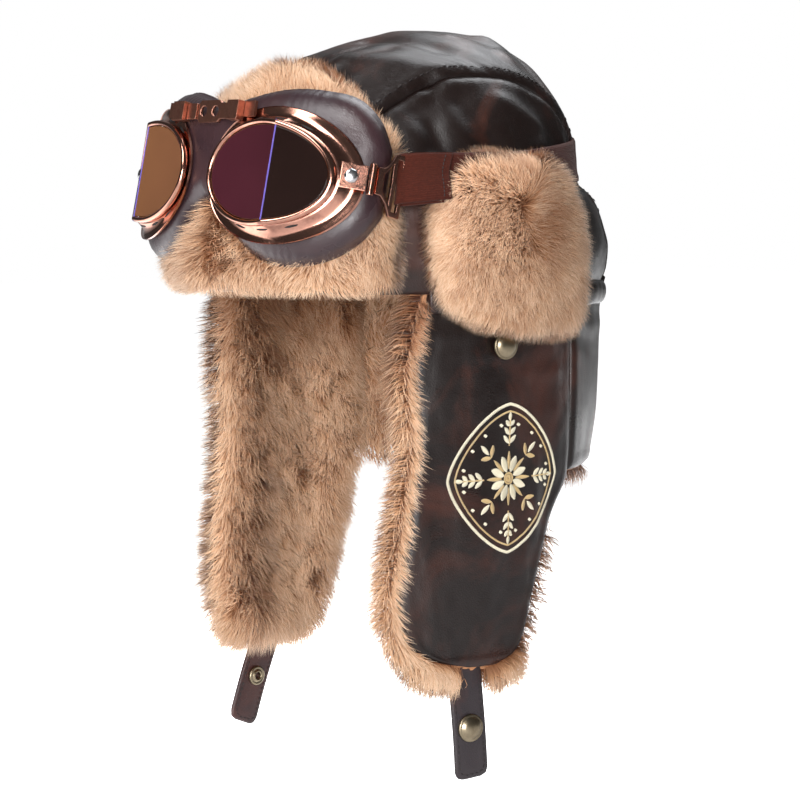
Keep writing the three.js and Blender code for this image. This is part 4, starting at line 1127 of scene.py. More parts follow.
RADIUS = 116.0
GOGGLE_HEIGHT = 60.0
LEAN = math.radians(12)
FUR_UNDER_GOGGLES = 7.3
PAD_ARC = 91.1
PAD_HALF_TURN = PAD_ARC / RADIUS
PAD_HALF_HEIGHT = 44.0
PAD_DEPTH = 15.7
PAD = np.array([
    [0, 0.7, -0.36], [0.12, 0.75, -0.5], [0.24, 0.82, -0.8], [0.42, 0.89, -1], [0.62, 0.9, -1],
    [0.8, 0.84, -0.86], [0.93, 0.62, -0.62], [1, 0.34, -0.36],
])
LENS_HALF_WIDTH, LENS_HALF_HEIGHT, LENS_CENTRE, LENS_DROP = 35.0, 26.0, 45.0, 4.2
LENS_FOLD, LENS_FORWARD, INNER_SLOPE, OUTER_SLOPE = 52.6, 20.0, 0.101, 0.6825
FLANGE_HALF_WIDTH, FLANGE_HALF_HEIGHT, FLANGE_CENTRE = 39.0, 33.0, 48.0
SHEET = 1.2
RIM_DEPTH, RIM_WIDTH = 3.6, 2.6


def goggle_origin():
    """Where the goggles' frame stands: before the shell's front at GOGGLE_HEIGHT."""
    _, length, middle = ring(np.array(GOGGLE_HEIGHT))
    return np.array([0.0, float(middle - length) - FUR_UNDER_GOGGLES, GOGGLE_HEIGHT])


GOGGLE_TURN = np.array([[1, 0, 0], [0, math.cos(LEAN), math.sin(LEAN)],
                        [0, -math.sin(LEAN), math.cos(LEAN)]])


def from_goggles(points):
    """Points of the goggles' frame in the helmet's: leaned about x, then moved."""
    return points @ GOGGLE_TURN.T + goggle_origin()


def to_goggles(points):
    """The reverse of from_goggles."""
    return (points - goggle_origin()) @ GOGGLE_TURN


def arc_y(x, off):
    """y of the goggles' round front at x, off mm before the cushion's back."""
    return RADIUS - np.sqrt(np.maximum((RADIUS + off) ** 2 - x * x, 1))


def pad_depth(place):
    """How deep a point lies before the back of the goggle cushion, inside its outline; below 0
    outside it."""
    reach = np.hypot(place[..., 0], RADIUS - place[..., 1])
    turn = np.abs(np.arctan2(place[..., 0], RADIUS - place[..., 1])) / PAD_HALF_TURN
    top = table_value(PAD, turn, 1) * PAD_HALF_HEIGHT - 3
    low = table_value(PAD, turn, 2) * PAD_HALF_HEIGHT + 3
    inside = (place[..., 2] < top) & (place[..., 2] > low) & (turn < 0.96)
    return np.where(inside, reach - RADIUS, -9.0)


HARDWARE_FROM_X, HARDWARE_TO_Y, HARDWARE_HALF_HEIGHT = 79, 42, 16


def in_hardware(place):
    """Whether a point lies in the room of the hinges and buckles at the temples."""
    x, y, z = np.moveaxis(place, -1, 0)
    level = np.abs(z + 1) < HARDWARE_HALF_HEIGHT
    return level & (np.abs(x) > HARDWARE_FROM_X) & (y < HARDWARE_TO_Y)


def build_cushion(leather):
    """The padded frame behind the eyecups: a crowned pad on the round front, pinched in at the
    nose, with a welt along its edge and soft puckers."""
    across, t = grid_of(np.linspace(-1, 1, 190), np.linspace(0, 1, 46))
    v = np.clip((t - 0.1) / 0.8, 0, 1)
    top = table_value(PAD, np.abs(across), 1) * PAD_HALF_HEIGHT
    low = table_value(PAD, np.abs(across), 2) * PAD_HALF_HEIGHT
    edge = rounded(np.minimum(v, 1 - v), 0.22) * rounded(1 - np.abs(across), 0.14)
    side = np.clip(np.minimum(t, 1 - t) / 0.1, 0, 1)
    pucker = 0.25 * np.sin(across * 120 + 2.4 * np.sin(across * 23)) * (1 - edge) * side
    off = PAD_DEPTH * lerp(0.32, 1, edge) * np.sin(side * math.pi / 2) ** 0.7 + pucker
    bulge = 1.1 * np.sin(side * math.pi) * np.where(t < 0.5, -1, 1) * (side < 1)
    height = lerp(low, top, v) + bulge
    turn = across * PAD_HALF_TURN
    reach = RADIUS + off
    front = np.stack([reach * np.sin(turn), RADIUS - reach * np.cos(turn), height], -1)
    back = np.stack([RADIUS * np.sin(turn), RADIUS - RADIUS * np.cos(turn), lerp(low, top, t)], -1)
    piece = add_closed("goggle_pad", wall(from_goggles(front), from_goggles(back)), leather,
                       "cushion_leather", ["goggle_cushion"])


def lens_y(x):
    """The lens front seen from above: two straight panes that meet at the fold."""
    fold = -LENS_FORWARD + INNER_SLOPE * (LENS_FOLD - LENS_CENTRE + LENS_HALF_WIDTH)
    return fold + np.where(x < LENS_FOLD, INNER_SLOPE, OUTER_SLOPE) * (x - LENS_FOLD)


def lens_loop(grow, back, count=112):
    """The lens outline grown by grow and set back by back, as an ellipse on the panes."""
    a = around_circle(count)
    x = LENS_CENTRE + (LENS_HALF_WIDTH + grow) * np.cos(a)
    return np.stack([x, lens_y(x) + back, -LENS_DROP + (LENS_HALF_HEIGHT + grow) * np.sin(a)], -1)


def flange_loop(grow, forward, count=112):
    """The eyecup's foot on the cushion."""
    a = around_circle(count)
    x = FLANGE_CENTRE + (FLANGE_HALF_WIDTH + grow) * np.cos(a)
    return np.stack([x, arc_y(x, PAD_DEPTH + SEAT) - forward,
                     -LENS_DROP + (FLANGE_HALF_HEIGHT + grow) * np.sin(a)], -1)


EYECUP = np.array([[0, 0, 0], [0.4, 0.55, 0.3], [1, 1, 1]])


def eyecup_skin(grow, forward, foot, steps=15):
    """Loops from the flange to the lens rim along the eyecup's profile."""
    t = np.linspace(0, 1, steps)
    inward, ahead = table_value(EYECUP, t, 1)[:, None], table_value(EYECUP, t, 2)[:, None]
    low, high = flange_loop(grow, forward)[None], lens_loop(grow, foot)[None]
    shares = inward, ahead, inward
    return np.stack([lerp(low[..., k], high[..., k], shares[k]) for k in range(3)], -1)


def add_pair(name, shape, material, slot, replaces=(), sharp=35):
    """A closed piece on the wearer's left in the goggles' frame, and its mirror image."""
    points, faces = shape
    for side, word in SIDES:
        place = from_goggles(sided(points, side))
        add_closed(f"{name}_{word}", (place, faces), material, slot,
                   [f"{r}_{word}" for r in replaces], sharp=sharp)


VENT_ANGLES = np.radians([62, 84, 106, 128, 232, 254, 276, 298])
VENT_SLOT = 6.5, 1.5, 0.05


def build_eyecups(copper, dark):
    """Eyecups with a rolled foot, lens rims of round section, and vent slots above and below,
    drawn as dark flat solids: painted shade of the openings.
    """
    under_rim = RIM_DEPTH - 1 + GAP
    outer = eyecup_skin(0, SHEET, under_rim)
    lip = np.stack([flange_loop(0.5, SHEET * 0.4), flange_loop(0.35, SHEET * 1.35)])
    inner = eyecup_skin(-SHEET * 1.4, 0, under_rim)[::-1]
    foot = flange_loop(0.2, 0.0)[None]
    shell = loft(np.concatenate([foot, lip, outer, inner]), closed_ends=False)
    add_pair("eyecup_shell", shell, copper, "antique_copper", ["eyecup"], 50)
    half, deep = RIM_WIDTH / 2, RIM_DEPTH / 2
    ring_loops = [lens_loop(-half + (half + 0.1) * math.cos(a), deep - 1 + deep * math.sin(a))
                  for a in around_circle(16)]
    add_pair("lens_ring", loft(np.stack(ring_loops), closed_ends=False), copper,
             "antique_copper", ["lens_rim"], 60)
    skin = eyecup_skin(0, SHEET, under_rim, 41)
    count = skin.shape[1]
    angle = np.arange(count) / count * 2 * math.pi
    places = []
    for middle in VENT_ANGLES:
        k = int(np.argmin(np.abs(angle - middle)))
        here = skin[30, k]
        along = unit(skin[30, (k + 1) % count] - skin[30, k - 1])
        up = unit(skin[36, k] - skin[24, k])
        out = unit(np.cross(up, along))
        out = out * np.sign(out @ (here - np.array([LENS_CENTRE, 0, -LENS_DROP])))
        places.append(np.stack([here + out * 0.05, along, up, np.cross(along, up)]))
    # Each vent slot is a dark flat solid just off the eyecup's face: painted shade for the depth
    # of the open slot.
    slot, faces = stitch_shape(*VENT_SLOT)
    slots = repeated(slot * np.array([1, 1, 0.35]), faces, np.stack(places))
    add_pair("vent_shadows", slots, dark, "antique_copper")


def build_pane_joints(joint):
    """A thin bright blue strip where the two panes of a lens meet."""
    reach = LENS_HALF_HEIGHT * math.sqrt(1 - ((LENS_FOLD - LENS_CENTRE) / LENS_HALF_WIDTH) ** 2)
    front = float(lens_y(np.array(LENS_FOLD)))
    corners = [(-0.13, -0.12), (0.13, -0.12), (0.13, 0.5), (-0.13, 0.5)]
    loops = [[(LENS_FOLD + x, front + y, z - LENS_DROP) for x, y in corners]
             for z in (-reach, 0.0, reach)]
    add_pair("pane_joint", loft(np.array(loops)), joint, "tinted_glass")


# Strap, temples, snaps and chin straps

HINGE_TURN, BUCKLE_TURN = math.radians(35), math.radians(9)
HINGE_LENGTH, PIN, BUCKLE_LENGTH = 13.0, 3.6, 19.0
HINGE_BEFORE_PAD = 29.5
STRAP_WIDTH, STRAP_THICKNESS, STRAP_TEMPLE, STRAP_REAR = 22.0, 1.8, 51.0, 68.5


def temple_point(distance):
    """A point of the temple hardware's run in the goggles' frame: first outward along the hinge
    plate and then inward along the buckle."""
    reach = HINGE_LENGTH + GAP + PIN
    edge = LENS_CENTRE + LENS_HALF_WIDTH
    end_x = RADIUS * math.sin(PAD_HALF_TURN)
    end_y = RADIUS - RADIUS * math.cos(PAD_HALF_TURN)
    x = max(edge + 6 * GAP, end_x)
    y = min(float(lens_y(edge)) + 5 * GAP, end_y - HINGE_BEFORE_PAD)
    first = min(distance, reach)
    second = distance - first
    return np.array([x + first * math.sin(HINGE_TURN) - second * math.sin(BUCKLE_TURN),
                     y + first * math.cos(HINGE_TURN) + second * math.cos(BUCKLE_TURN), -1.0])


def strap_start(z):
    """Turn and lift off the shell where the strap meets its buckle at height z."""
    end = temple_point(HINGE_LENGTH + PIN + 3 * GAP + BUCKLE_LENGTH + STRAP_THICKNESS / 2 + SEAT)
    level = from_goggles(end)[2]
    end[2] += (z - level) / math.cos(LEAN)
    end = from_goggles(end)
    turn, lift = turn_at(end[1], np.array(z)), 0.0
    for _ in range(8):
        normal = head_normal(turn, np.array(z))
        lift = float((end - head_point(turn, np.array(z))) @ normal)
        turn = turn_at(end[1] - lift * normal[1], np.array(z))
    return float(turn), lift


def strap_grid(u, v, off):
    """The elastic: u from temple round the back to temple, v from its lower to its upper edge,
    off mm off its middle."""
    starts = np.array([strap_start(STRAP_TEMPLE + (s - 0.5) * STRAP_WIDTH) for s in (0, 0.5, 1)])
    rise = (v - 0.5) * STRAP_WIDTH
    across = np.abs(2 * u - 1)
    turn0 = np.interp(v, [0, 0.5, 1], starts[:, 0])
    lift0 = np.interp(v, [0, 0.5, 1], starts[:, 1])
    z = lerp(STRAP_REAR, STRAP_TEMPLE, across ** 1.4) + rise
    lift = np.maximum(SEAT + STRAP_THICKNESS / 2, lift0 * smooth(across, 0.62, 1))
    return head_point((1 - 2 * u) * turn0, z, lift + off)


FOLD_SHARE, TURNED_END = 0.3, 21.0


def build_strap(elastic, thread):
    """The woven elastic, slightly wavy at its edges, and the turned back end at each buckle."""
    u, v = grid_of(np.linspace(0, 1, 320), np.linspace(0, 1, 14))
    edge = 1 - rounded(near_edge(v), 0.06)
    wave = 0.25 * np.sin(u * 210 + 3 * np.sin(u * 17)) * (np.abs(2 * v - 1) ** 3)
    outer = strap_grid(u, v, STRAP_THICKNESS / 2 + 0.1 - 0.6 * edge + wave * 0.5)
    inner = strap_grid(u, v, -STRAP_THICKNESS / 2 + 0.3 * edge + np.zeros_like(u))
    travelled = length_along(strap_grid(np.linspace(0, 1, 320), np.full(320, 0.5), 0.0))
    total = travelled[-1]

    def laid(along, across):
        lay = np.stack([np.broadcast_to(along, across.shape), across * STRAP_WIDTH], -1)
        return np.tile(lay.reshape(-1, 2), (2, 1))
    add_closed("strap_elastic", wall(outer, inner), elastic, "elastic", ["goggle_strap"],
               uv=laid(travelled[:, None], v))
    path, band = grid_of(np.linspace(0, 1, 46), np.linspace(0.03, 0.97, 16))
    bend = np.clip(path / FOLD_SHARE, 0, 1) * math.pi
    reach = np.clip((path - FOLD_SHARE) / (1 - FOLD_SHARE), 0, 1) * TURNED_END / total
    lead = (-3.4 * np.sin(bend))[..., None] * fold_direction()
    off = np.where(path < FOLD_SHARE, 1.9 - 1.9 * np.cos(bend), 3.6 - 0.9 * smooth(path, 0.35, 1))
    sheet = [strap_grid(np.clip(reach, 0, 1), band, off + k) + lead for k in (0.55, -0.45)]
    line = strap_grid(np.full(30, 17.5 / total), np.linspace(0.08, 0.92, 30), 3.4)
    normals = head_normal(np.full(30, 1.2), np.full(30, STRAP_TEMPLE))
    for side, name in SIDES:
        add_closed(f"strap_turned_end_{name}", wall(*(sided(s, side) for s in sheet)), elastic,
                   "elastic", uv=laid(path * 30, band))
        stitches = stitches_along(sided(line, side), sided(normals, side), *STRAP_STITCH)
        add_piece(f"strap_end_stitches_{name}", *stitches, thread, "elastic")


def fold_direction():
    """The way from the strap's end toward the buckle, in the helmet's frame."""
    ends = strap_grid(np.array([0.0, 0.02]), np.array([0.5, 0.5]), 0.0)
    return unit(ends[1] - ends[0])


def lathe(profile, count=48):
    """A profile of radius and height turned about z, as loops from its first to its last point."""
    profile, a = np.asarray(profile, float), around_circle(count)
    r, h = profile[:, :1], np.broadcast_to(profile[:, 1:], (len(profile), count))
    return np.stack([r * np.cos(a), r * np.sin(a), h], -1)


def upright(direction):
    """Three directions whose last is the one given."""
    z = unit(np.asarray(direction, float))
    x = unit(np.cross([0, 0, 1.0], z))
    return np.stack([x, np.cross(z, x), z])


SNAP_CAP = [(7, 0), (7.05, 0.5), (6.9, 1.1), (6.3, 1.35), (5.9, 1.3), (5.6, 1.45), (5.2, 1.9),
            (4.4, 2.45), (3.2, 2.95), (1.8, 3.25), (0.6, 3.38)]
SNAP_RING = [(1.9, 0), (5.2, 0), (5.3, 0.6), (5.0, 1.3), (4.3, 1.5), (3.8, 1.1), (3.3, 1.3),
             (2.8, 2.0), (2.3, 2.1), (1.9, 1.6)]


def add_snap(name, place, direction, profile, material, replaces):
    """A snap fastener part: a plain domed cap, or a ring with an open middle."""
    points, faces = loft(lathe(profile), closed_ends=profile is SNAP_CAP)
    add_closed(name, (points @ upright(direction) + place, faces), material, "antique_brass",
               replaces, sharp=70)


CHIN_WIDTH, CHIN_LENGTH, CHIN_THICKNESS, CHIN_TUCK, CHIN_SNAP = 19.0, 57.0, 2.4, 12.0, 31.0
# Forward of the flap's middle in mm and lean in degrees
CHIN_PLACES = {"left": (32.0, -5.0), "right": (23.0, 22.0)}


def chin_frame(side):
    """Origin and three directions of a chin strap: outward, along its width and up it."""
    place, lean = CHIN_PLACES[side]
    sign = 1 if side == "left" else -1
    z = np.array(-FLAP_DROP)
    turn = sign * turn_at(-place, z)
    normal = head_normal(turn, z)
    a, b = math.atan2(normal[1], normal[0]), math.radians(-sign * lean)
    out = np.array([math.cos(a), math.sin(a), 0])
    level = np.array([-math.sin(a), math.cos(a), 0])
    width = level * math.cos(b) + np.array([0, 0, math.sin(b)])
    up = -level * math.sin(b) + np.array([0, 0, math.cos(b)])
    origin = level_point(turn, z, -LEATHER - 2 * SEAT - CHIN_THICKNESS / 2)
    return origin, np.stack([out, width, up])


def chin_outline(inset, height):
    """The free strap's outline with cut corners, inset and at a height off its middle."""
    half, corner = CHIN_WIDTH / 2 - inset, 4.0
    end, top = -CHIN_LENGTH + inset, CHIN_TUCK
    right = [(half - corner, end), (half - corner * 0.3, end + corner * 0.3),
             (half, end + corner), (half, top)]
    corners = [(-y, z) for y, z in reversed(right)] + right
    points = []
    for (y0, z0), (y1, z1) in zip(corners, corners[1:] + corners[:1]):
        count = max(2, int(math.hypot(y1 - y0, z1 - z0) / 1.5))
        share = np.linspace(0, 1, count, endpoint=False)[:, None]
        points.append(np.array([y0, z0]) * (1 - share) + np.array([y1, z1]) * share)
    flat = np.concatenate(points)
    return np.concatenate([np.full((len(flat), 1), height), flat], 1)


def build_chin_strap(side, leather, thread, brass):
    """A leather strap with rounded edges, stitched round its border, and its snap."""
    origin, turn = chin_frame(side)
    half = CHIN_THICKNESS / 2

    def placed(points):
        bow = 0.9 * np.sin(np.clip(-points[..., 2] / CHIN_LENGTH, 0, 1) * math.pi)
        return (points + np.stack([bow, bow * 0, bow * 0], -1)) @ turn + origin
    section = ((5.5, half), (1.2, half + 0.12), (0.5, half - 0.12), (0, half * 0.3),
               (0, -half * 0.3), (0.5, -half + 0.12), (1.2, -half - 0.1), (5.5, -half))
    rings = [chin_outline(inset, height) for inset, height in section]
    count = min(len(r) for r in rings)

    def resampled(ring_points):
        closed = np.concatenate([ring_points, ring_points[:1]])
        travelled = length_along(closed)
        marks = np.linspace(0, travelled[-1], count, endpoint=False)
        return np.stack([np.interp(marks, travelled, closed[:, k]) for k in range(3)], -1)
    points, faces = loft(np.stack([resampled(r) for r in rings]))
    add_closed(f"chin_strap_leather_{side}", (placed(points), faces), leather, "leather",
               [f"chin_strap_{side}"], sharp=60)
    parts = []
    for height, sign in ((half + 0.14, 1), (-half - 0.12, -1)):
        line = chin_outline(2.2, height)
        line = np.concatenate([line, line[:1]])
        line = line[(line[:, 2] < 1) | (line[:, 2] > CHIN_TUCK + 5)]
        normals = np.tile(turn[0] * sign, (len(line), 1))
        parts.append(stitches_along(placed(line), normals, *CHIN_STITCH))
    add_piece(f"chin_strap_stitches_{side}", *joined(parts), thread, "leather")
    for word, sign, profile in (("cap", 1, SNAP_CAP), ("socket", -1, SNAP_RING)):
        place = origin + np.array([sign * (half + GAP), 0, -CHIN_SNAP]) @ turn
        add_snap(f"chin_{word}_{side}", place + turn[0] * 0.7, turn[0] * sign, profile, brass,
                 [f"chin_snap_{word}_{side}"])


# Embroidery: a made up rosette with leaf sprigs in a lozenge, in satin stitch

EMBROIDERY_Y, EMBROIDERY_Z = -10.0, -92.0
FLAP_SNAP_Y, FLAP_SNAP_DOWN = -14.0, 0.14


def thread_shape():
    """One raised thread of length 1 along x: a three sided ridge that arches up in its middle."""
    x = np.array([-0.5, -0.3, 0.3, 0.5])
    lift = np.array([0.0, 1.0, 1.0, 0.0])
    low = lift * 0.5 - 0.4
    ridge = ((x * 0 - 0.5, low), (x * 0, lift + 0.1), (x * 0 + 0.5, low))
    points, faces = loft(np.stack([np.stack([x, y, z], -1) for y, z in ridge], 1))
    return points, outward(points, faces)


def satin(lines, width=0.62, rise=0.45):
    """Threads from start to end, each row of lines being y0, z0, y1, z1 about the motif's middle,
    laid on the left flap's leather."""
    lines = np.asarray(lines)
    start, end = lines[:, :2], lines[:, 2:]
    middle = (start + end) / 2
    y, z = EMBROIDERY_Y - middle[:, 0], EMBROIDERY_Z + middle[:, 1]
    lift = flap_relief(y, z, 22) + 0.1
    here = on_flap(y, z, lift)
    away = end - start
    step = np.maximum(np.linalg.norm(away, axis=1), 0.4)
    ahead = unit(on_flap(y - away[:, 0] / step, z + away[:, 1] / step, lift) - here)
    turn = turn_at(y, z)
    up = head_normal(turn, z)
    side = unit(np.cross(up, ahead))
    places = np.stack([here, ahead * step[:, None], side * width, up * rise], 1)
    return repeated(*thread_shape(), places)


def leaf(y, z, angle, length, width, pitch=0.55):
    """Threads across a leaf: half width is width/2 times sin(pi t)^0.7, slanted to the midrib."""
    t = np.arange(0.04, 0.98, pitch / length)
    along = np.array([math.cos(angle), math.sin(angle)])
    across = np.array([-math.sin(angle), math.cos(angle)])
    half = width / 2 * np.sin(math.pi * t) ** 0.7
    rib = np.array([y, z]) + t[:, None] * length * along
    slant = along * 0.25 + across
    return np.concatenate([rib - half[:, None] * slant, rib + half[:, None] * slant], 1)


def cord_line(corners, width, pitch=0.6):
    """Threads across a path of corners, as a satin cord of that width."""
    corners = np.asarray(corners, float)
    travelled = length_along(corners)
    marks = np.arange(0, travelled[-1], pitch)
    path = np.stack([np.interp(marks, travelled, corners[:, k]) for k in range(2)], -1)
    ahead = unit(np.gradient(path, axis=0))
    across = np.stack([-ahead[:, 1], ahead[:, 0]], -1) + ahead * 0.5
    return np.concatenate([path - across * width / 2, path + across * width / 2], 1)


def build_embroidery(cream, gold):
    """Eight petals round a button, a sprig toward each corner, leaf sprays along the sides and a
    double lozenge of cord with small seeds between."""
    bright, warm = [], []

    def polar(radius, angle):
        return radius * math.cos(angle), radius * math.sin(angle)
    for k in range(8):
        a = k * math.pi / 4 + math.pi / 8
        bright.append(leaf(*polar(3.4, a), a, 8.4, 4.2))
        a += math.pi / 8
        warm.append(leaf(*polar(4.6, a), a, 8.8, 2.0))
    turns = np.linspace(0, 2 * math.pi, 40)
    for radius, width in ((1.1, 2.0), (2.7, 0.8)):
        circle = np.stack([radius * np.cos(turns), radius * np.sin(turns)], -1)
        warm.append(cord_line(circle, width, 0.4))
    corners = np.array([[0, 1], [1, 0], [0, -1], [-1, 0], [0, 1]])
    share = np.linspace(0, 1, 25)[:-1, None]
    swell = 1 + 0.26 * np.sin(math.pi * share)
    for high, wide, width, store in ((37.0, 34.5, 1.5, bright), (33.4, 31.0, 0.9, warm)):
        path = [(a * (1 - share) + b * share) * swell * np.array([wide, high])
                for a, b in zip(corners[:-1], corners[1:])]
        store.append(cord_line(np.concatenate([*path, path[0][:1]]), width))
    for dy, dz in corners[:-1]:
        a = math.atan2(dz, dy)
        reach = 16.5 if dz else 15.5
        stem = np.array([[reach * dy, reach * dz], [reach * 1.86 * dy, reach * 1.86 * dz]])
        warm.append(cord_line(stem, 0.8))
        for place, size in ((1.05, 5.6), (1.32, 4.8), (1.58, 3.8)):
            for turn in (0.75, -0.75):
                bright.append(leaf(reach * place * dy, reach * place * dz, a + turn, size, 2.3))
        bright.append(leaf(reach * 1.74 * dy, reach * 1.74 * dz, a, 4.2, 2.2))
    for k in range(4):
        a = k * math.pi / 2 + math.pi / 4
        for place, spread, size in ((15.5, 0.95, 6.2), (15.5, -0.95, 6.2), (17.5, 0.0, 6.5)):
            store = warm if spread else bright
            store.append(leaf(*polar(place, a), a + spread, size, 2.4))
    for k in range(16):
        a = k * math.pi / 8 + math.pi / 16
        y, z = polar(27.6 - 1.5 * abs(math.sin(2 * a)), a)
        bright.append(leaf(y - 0.9, z, 0.0, 1.8, 1.8, 0.4))
    for name, rows, material in (("cream", bright, cream), ("gold", warm, gold)):
        add_piece(f"embroidery_{name}", *satin(np.concatenate(rows)), material, "leather")


# Hardware that stays the frame's own solids, with softened edges

def soften(name, material, width, angle=40):
    """Gives a frame node a material and rounds its edges: welded, bevelled, with normals weighted
    by face area.
    """
    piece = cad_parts[name]
    piece.data.materials.clear()
    piece.data.materials.append(material)
    for label, kind, values in (
            ("Weld", "WELD", {"merge_threshold": 0.00002}),
            ("Bevel", "BEVEL", {"width": width * MM, "segments": 3, "limit_method": "ANGLE",
                                "angle_limit": math.radians(angle)}),
            ("Even", "WEIGHTED_NORMAL", {"weight": 100})):
        modifier = piece.modifiers.new(label, kind)
        for key, value in values.items():
            setattr(modifier, key, value)


# Strands of each fur piece: more where the photo shows the piece's near side
STRANDS = {("lining", "left"): 42000, ("lining", "right"): 57000, "neck": 14000,
           "visor": 52000, ("patch", "left"): 38000, ("patch", "right"): 20000}


# Sizes and colours that a user would change

def color_property(name, description, default):
    """A colour property with its default in linear light."""
    return bpy.props.FloatVectorProperty(name=name, description=description, subtype="COLOR",
                                         size=3, min=0.0, max=1.0, default=default)


def number_property(name, description, default, **more):
    """A number property, with its range, unit or subtype."""
    return bpy.props.FloatProperty(name=name, description=description, default=default, **more)


class HelmetLeather(bpy.types.PropertyGroup):
    base: color_property("Leather", "The leather where it isn't rubbed", (0.0085, 0.0046, 0.0038))
    rub: color_property("Rubs", "Colour where the leather is rubbed", (0.115, 0.033, 0.019))
    light: color_property("Mottle", "Lighter tone of the mottling", (0.012, 0.0065, 0.0056))
    strap: color_property("Chin strap", "Colour of the chin straps", (0.020, 0.014, 0.016))
    thread: color_property("Thread", "Colour of the topstitching", (0.012, 0.008, 0.008))
    pebbles: number_property("Grain", "Pebbles of the grain per metre", 850.0, min=200.0,
                             max=3000.0)


class HelmetFur(bpy.types.PropertyGroup):
    # The root colour is partly the pile's own colour and partly painted shade deep in the pile.
    root: color_property("Root", "Colour of the pile at its roots", (0.27, 0.098, 0.040))
    middle: color_property("Middle", "Colour half way up the pile", (0.68, 0.36, 0.185))
    tip: color_property("Tip", "Colour of the pile's tips", (0.98, 0.74, 0.53))
    # The shade colour darkens random locks, and also paints shade toward the top of the flap
    # linings and in the middle of the ear patches.
    shade: color_property("Shade", "Multiplies the darkest locks", (0.40, 0.26, 0.185))
    length: number_property("Pile", "Length of the pile in the flaps", 0.0175, min=0.004,
                            max=0.04, unit="LENGTH")
    width: number_property("Strand", "Width of a strand", 0.00036, min=0.0001, max=0.002,
                           unit="LENGTH")


class HelmetGoggles(bpy.types.PropertyGroup):
    copper: color_property("Plating", "The plating where it is bright", (0.57, 0.29, 0.215))
    patina: color_property("Patina", "The plating where it is tarnished", (0.075, 0.024, 0.018))
    pad: color_property("Pad", "Colour of the padded frame", (0.024, 0.011, 0.013))
    lens: color_property("Lens", "Tint of the lenses", (0.040, 0.0075, 0.0135))
    elastic: color_property("Elastic", "Colour of the woven strap", (0.075, 0.0145, 0.0075))


class HelmetStage(bpy.types.PropertyGroup):
    azimuth: number_property("Azimuth", "The camera's way round the helmet", math.radians(50),
                             subtype="ANGLE")
    elevation: number_property("Elevation", "The camera's height above the level",
                               math.radians(5), subtype="ANGLE")
    distance: number_property("Distance", "From the camera to the helmet", 1.4, min=0.3,
                              max=10.0, unit="LENGTH")
    floor: color_property("Floor", "Colour of the floor", (0.92, 0.92, 0.93))


def settings():
    """The scene's four property groups."""
    scene = bpy.context.scene
    return scene.helmet_leather, scene.helmet_fur, scene.helmet_goggles, scene.helmet_stage


def main_leather():
    """The leather of the crown and flaps."""
    tone = settings()[0]
    return leather_material("Worn brown leather", tone.base, tone.rub, tone.light, 0.34,
                            tone.pebbles)


def dark_thread():
    """The thread of the topstitching."""
    return plain_material("Dark thread", settings()[0].thread, 0.6, spread=0.4, scale=3000.0)


def copper_plate():
    """The aged plating of the goggles."""
    tone = settings()[2]
    return metal_material("Antique copper", tone.copper, tone.patina, 0.13)


def brass_plate():
    """The aged plating of the snaps."""
    return metal_material("Antique brass", (0.34, 0.28, 0.19), (0.12, 0.09, 0.055), 0.3)


class HELMET_OT_crown(bpy.types.Operator):
    """Builds the crown's three leather panels and their topstitching"""
    bl_idname = "helmet.crown"
    bl_label = "Crown"

    def execute(self, context):
        build_crown(main_leather())
        build_crown_stitches(dark_thread())
        return {"FINISHED"}


class HELMET_OT_skirt(bpy.types.Operator):
    """Builds the rolled band, the ear flaps and the neck flap"""
    bl_idname = "helmet.skirt"
    bl_label = "Band and flaps"

    def execute(self, context):
        leather = main_leather()
        build_band(leather)
        for side, name in SIDES:
            build_ear_flap(leather, side, name)
        build_neck_flap(leather)
        return {"FINISHED"}


class HELMET_OT_fur(bpy.types.Operator):
    """Builds the fur of the flaps, the neck, the visor and the ear patches"""
    bl_idname = "helmet.fur"
    bl_label = "Fur"

    def execute(self, context):
        tone = settings()[1]
        fur = fur_material("Deep pile", tone.root, tone.middle, tone.tip, tone.shade)
        length, width = tone.length / MM, tone.width / MM
        for side, name in SIDES:
            build_flap_lining(fur, side, name, STRANDS["lining", name], length, width)
        build_neck_fur(fur, STRANDS["neck"], length * 0.95, width * 1.2)
        build_visor(fur, STRANDS["visor"], length * 0.72, width * 0.85)
        for side, name in SIDES:
            build_patch(fur, side, name, STRANDS["patch", name], length * 0.66, width * 0.9)
        return {"FINISHED"}


class HELMET_OT_goggles(bpy.types.Operator):
    """Builds the padded frame, eyecups, lens rings, lenses and bridge"""
    bl_idname = "helmet.goggles"
    bl_label = "Goggles"

    def execute(self, context):
        tone = settings()[2]
        pad = leather_material("Padded frame leather", tone.pad, (0.05, 0.02, 0.019),
                               (0.036, 0.021, 0.029), 0.3, 1100.0, coat=0.2)
        copper = copper_plate()
        worn = metal_material("Worn copper", (0.44, 0.205, 0.145), tone.patina, 0.36)
        build_cushion(pad)
        build_eyecups(copper, plain_material("Vent shadow", (0.006, 0.004, 0.004), 0.8))
        purple = lens_material("Lens inner pane", (0.035, 0.011, 0.012), tone.lens,
                               (0.36, 0.17, 0.055))
        brown = lens_material("Lens outer pane", (0.012, 0.006, 0.005), (0.018, 0.008, 0.006),
                              (0.36, 0.16, 0.06))
        build_pane_joints(plain_material("Pane joint", (0.16, 0.13, 0.5), 0.25, spread=0.1))
        for _, word in SIDES:
            soften(f"lens_inner_{word}", purple, 0.25)
            soften(f"lens_outer_{word}", brown, 0.25)
            for part in ("wing", "clamp", "plate"):
                soften(f"bridge_{part}_{word}", worn, 0.5)
        soften("bridge_link", worn, 0.45)
        return {"FINISHED"}


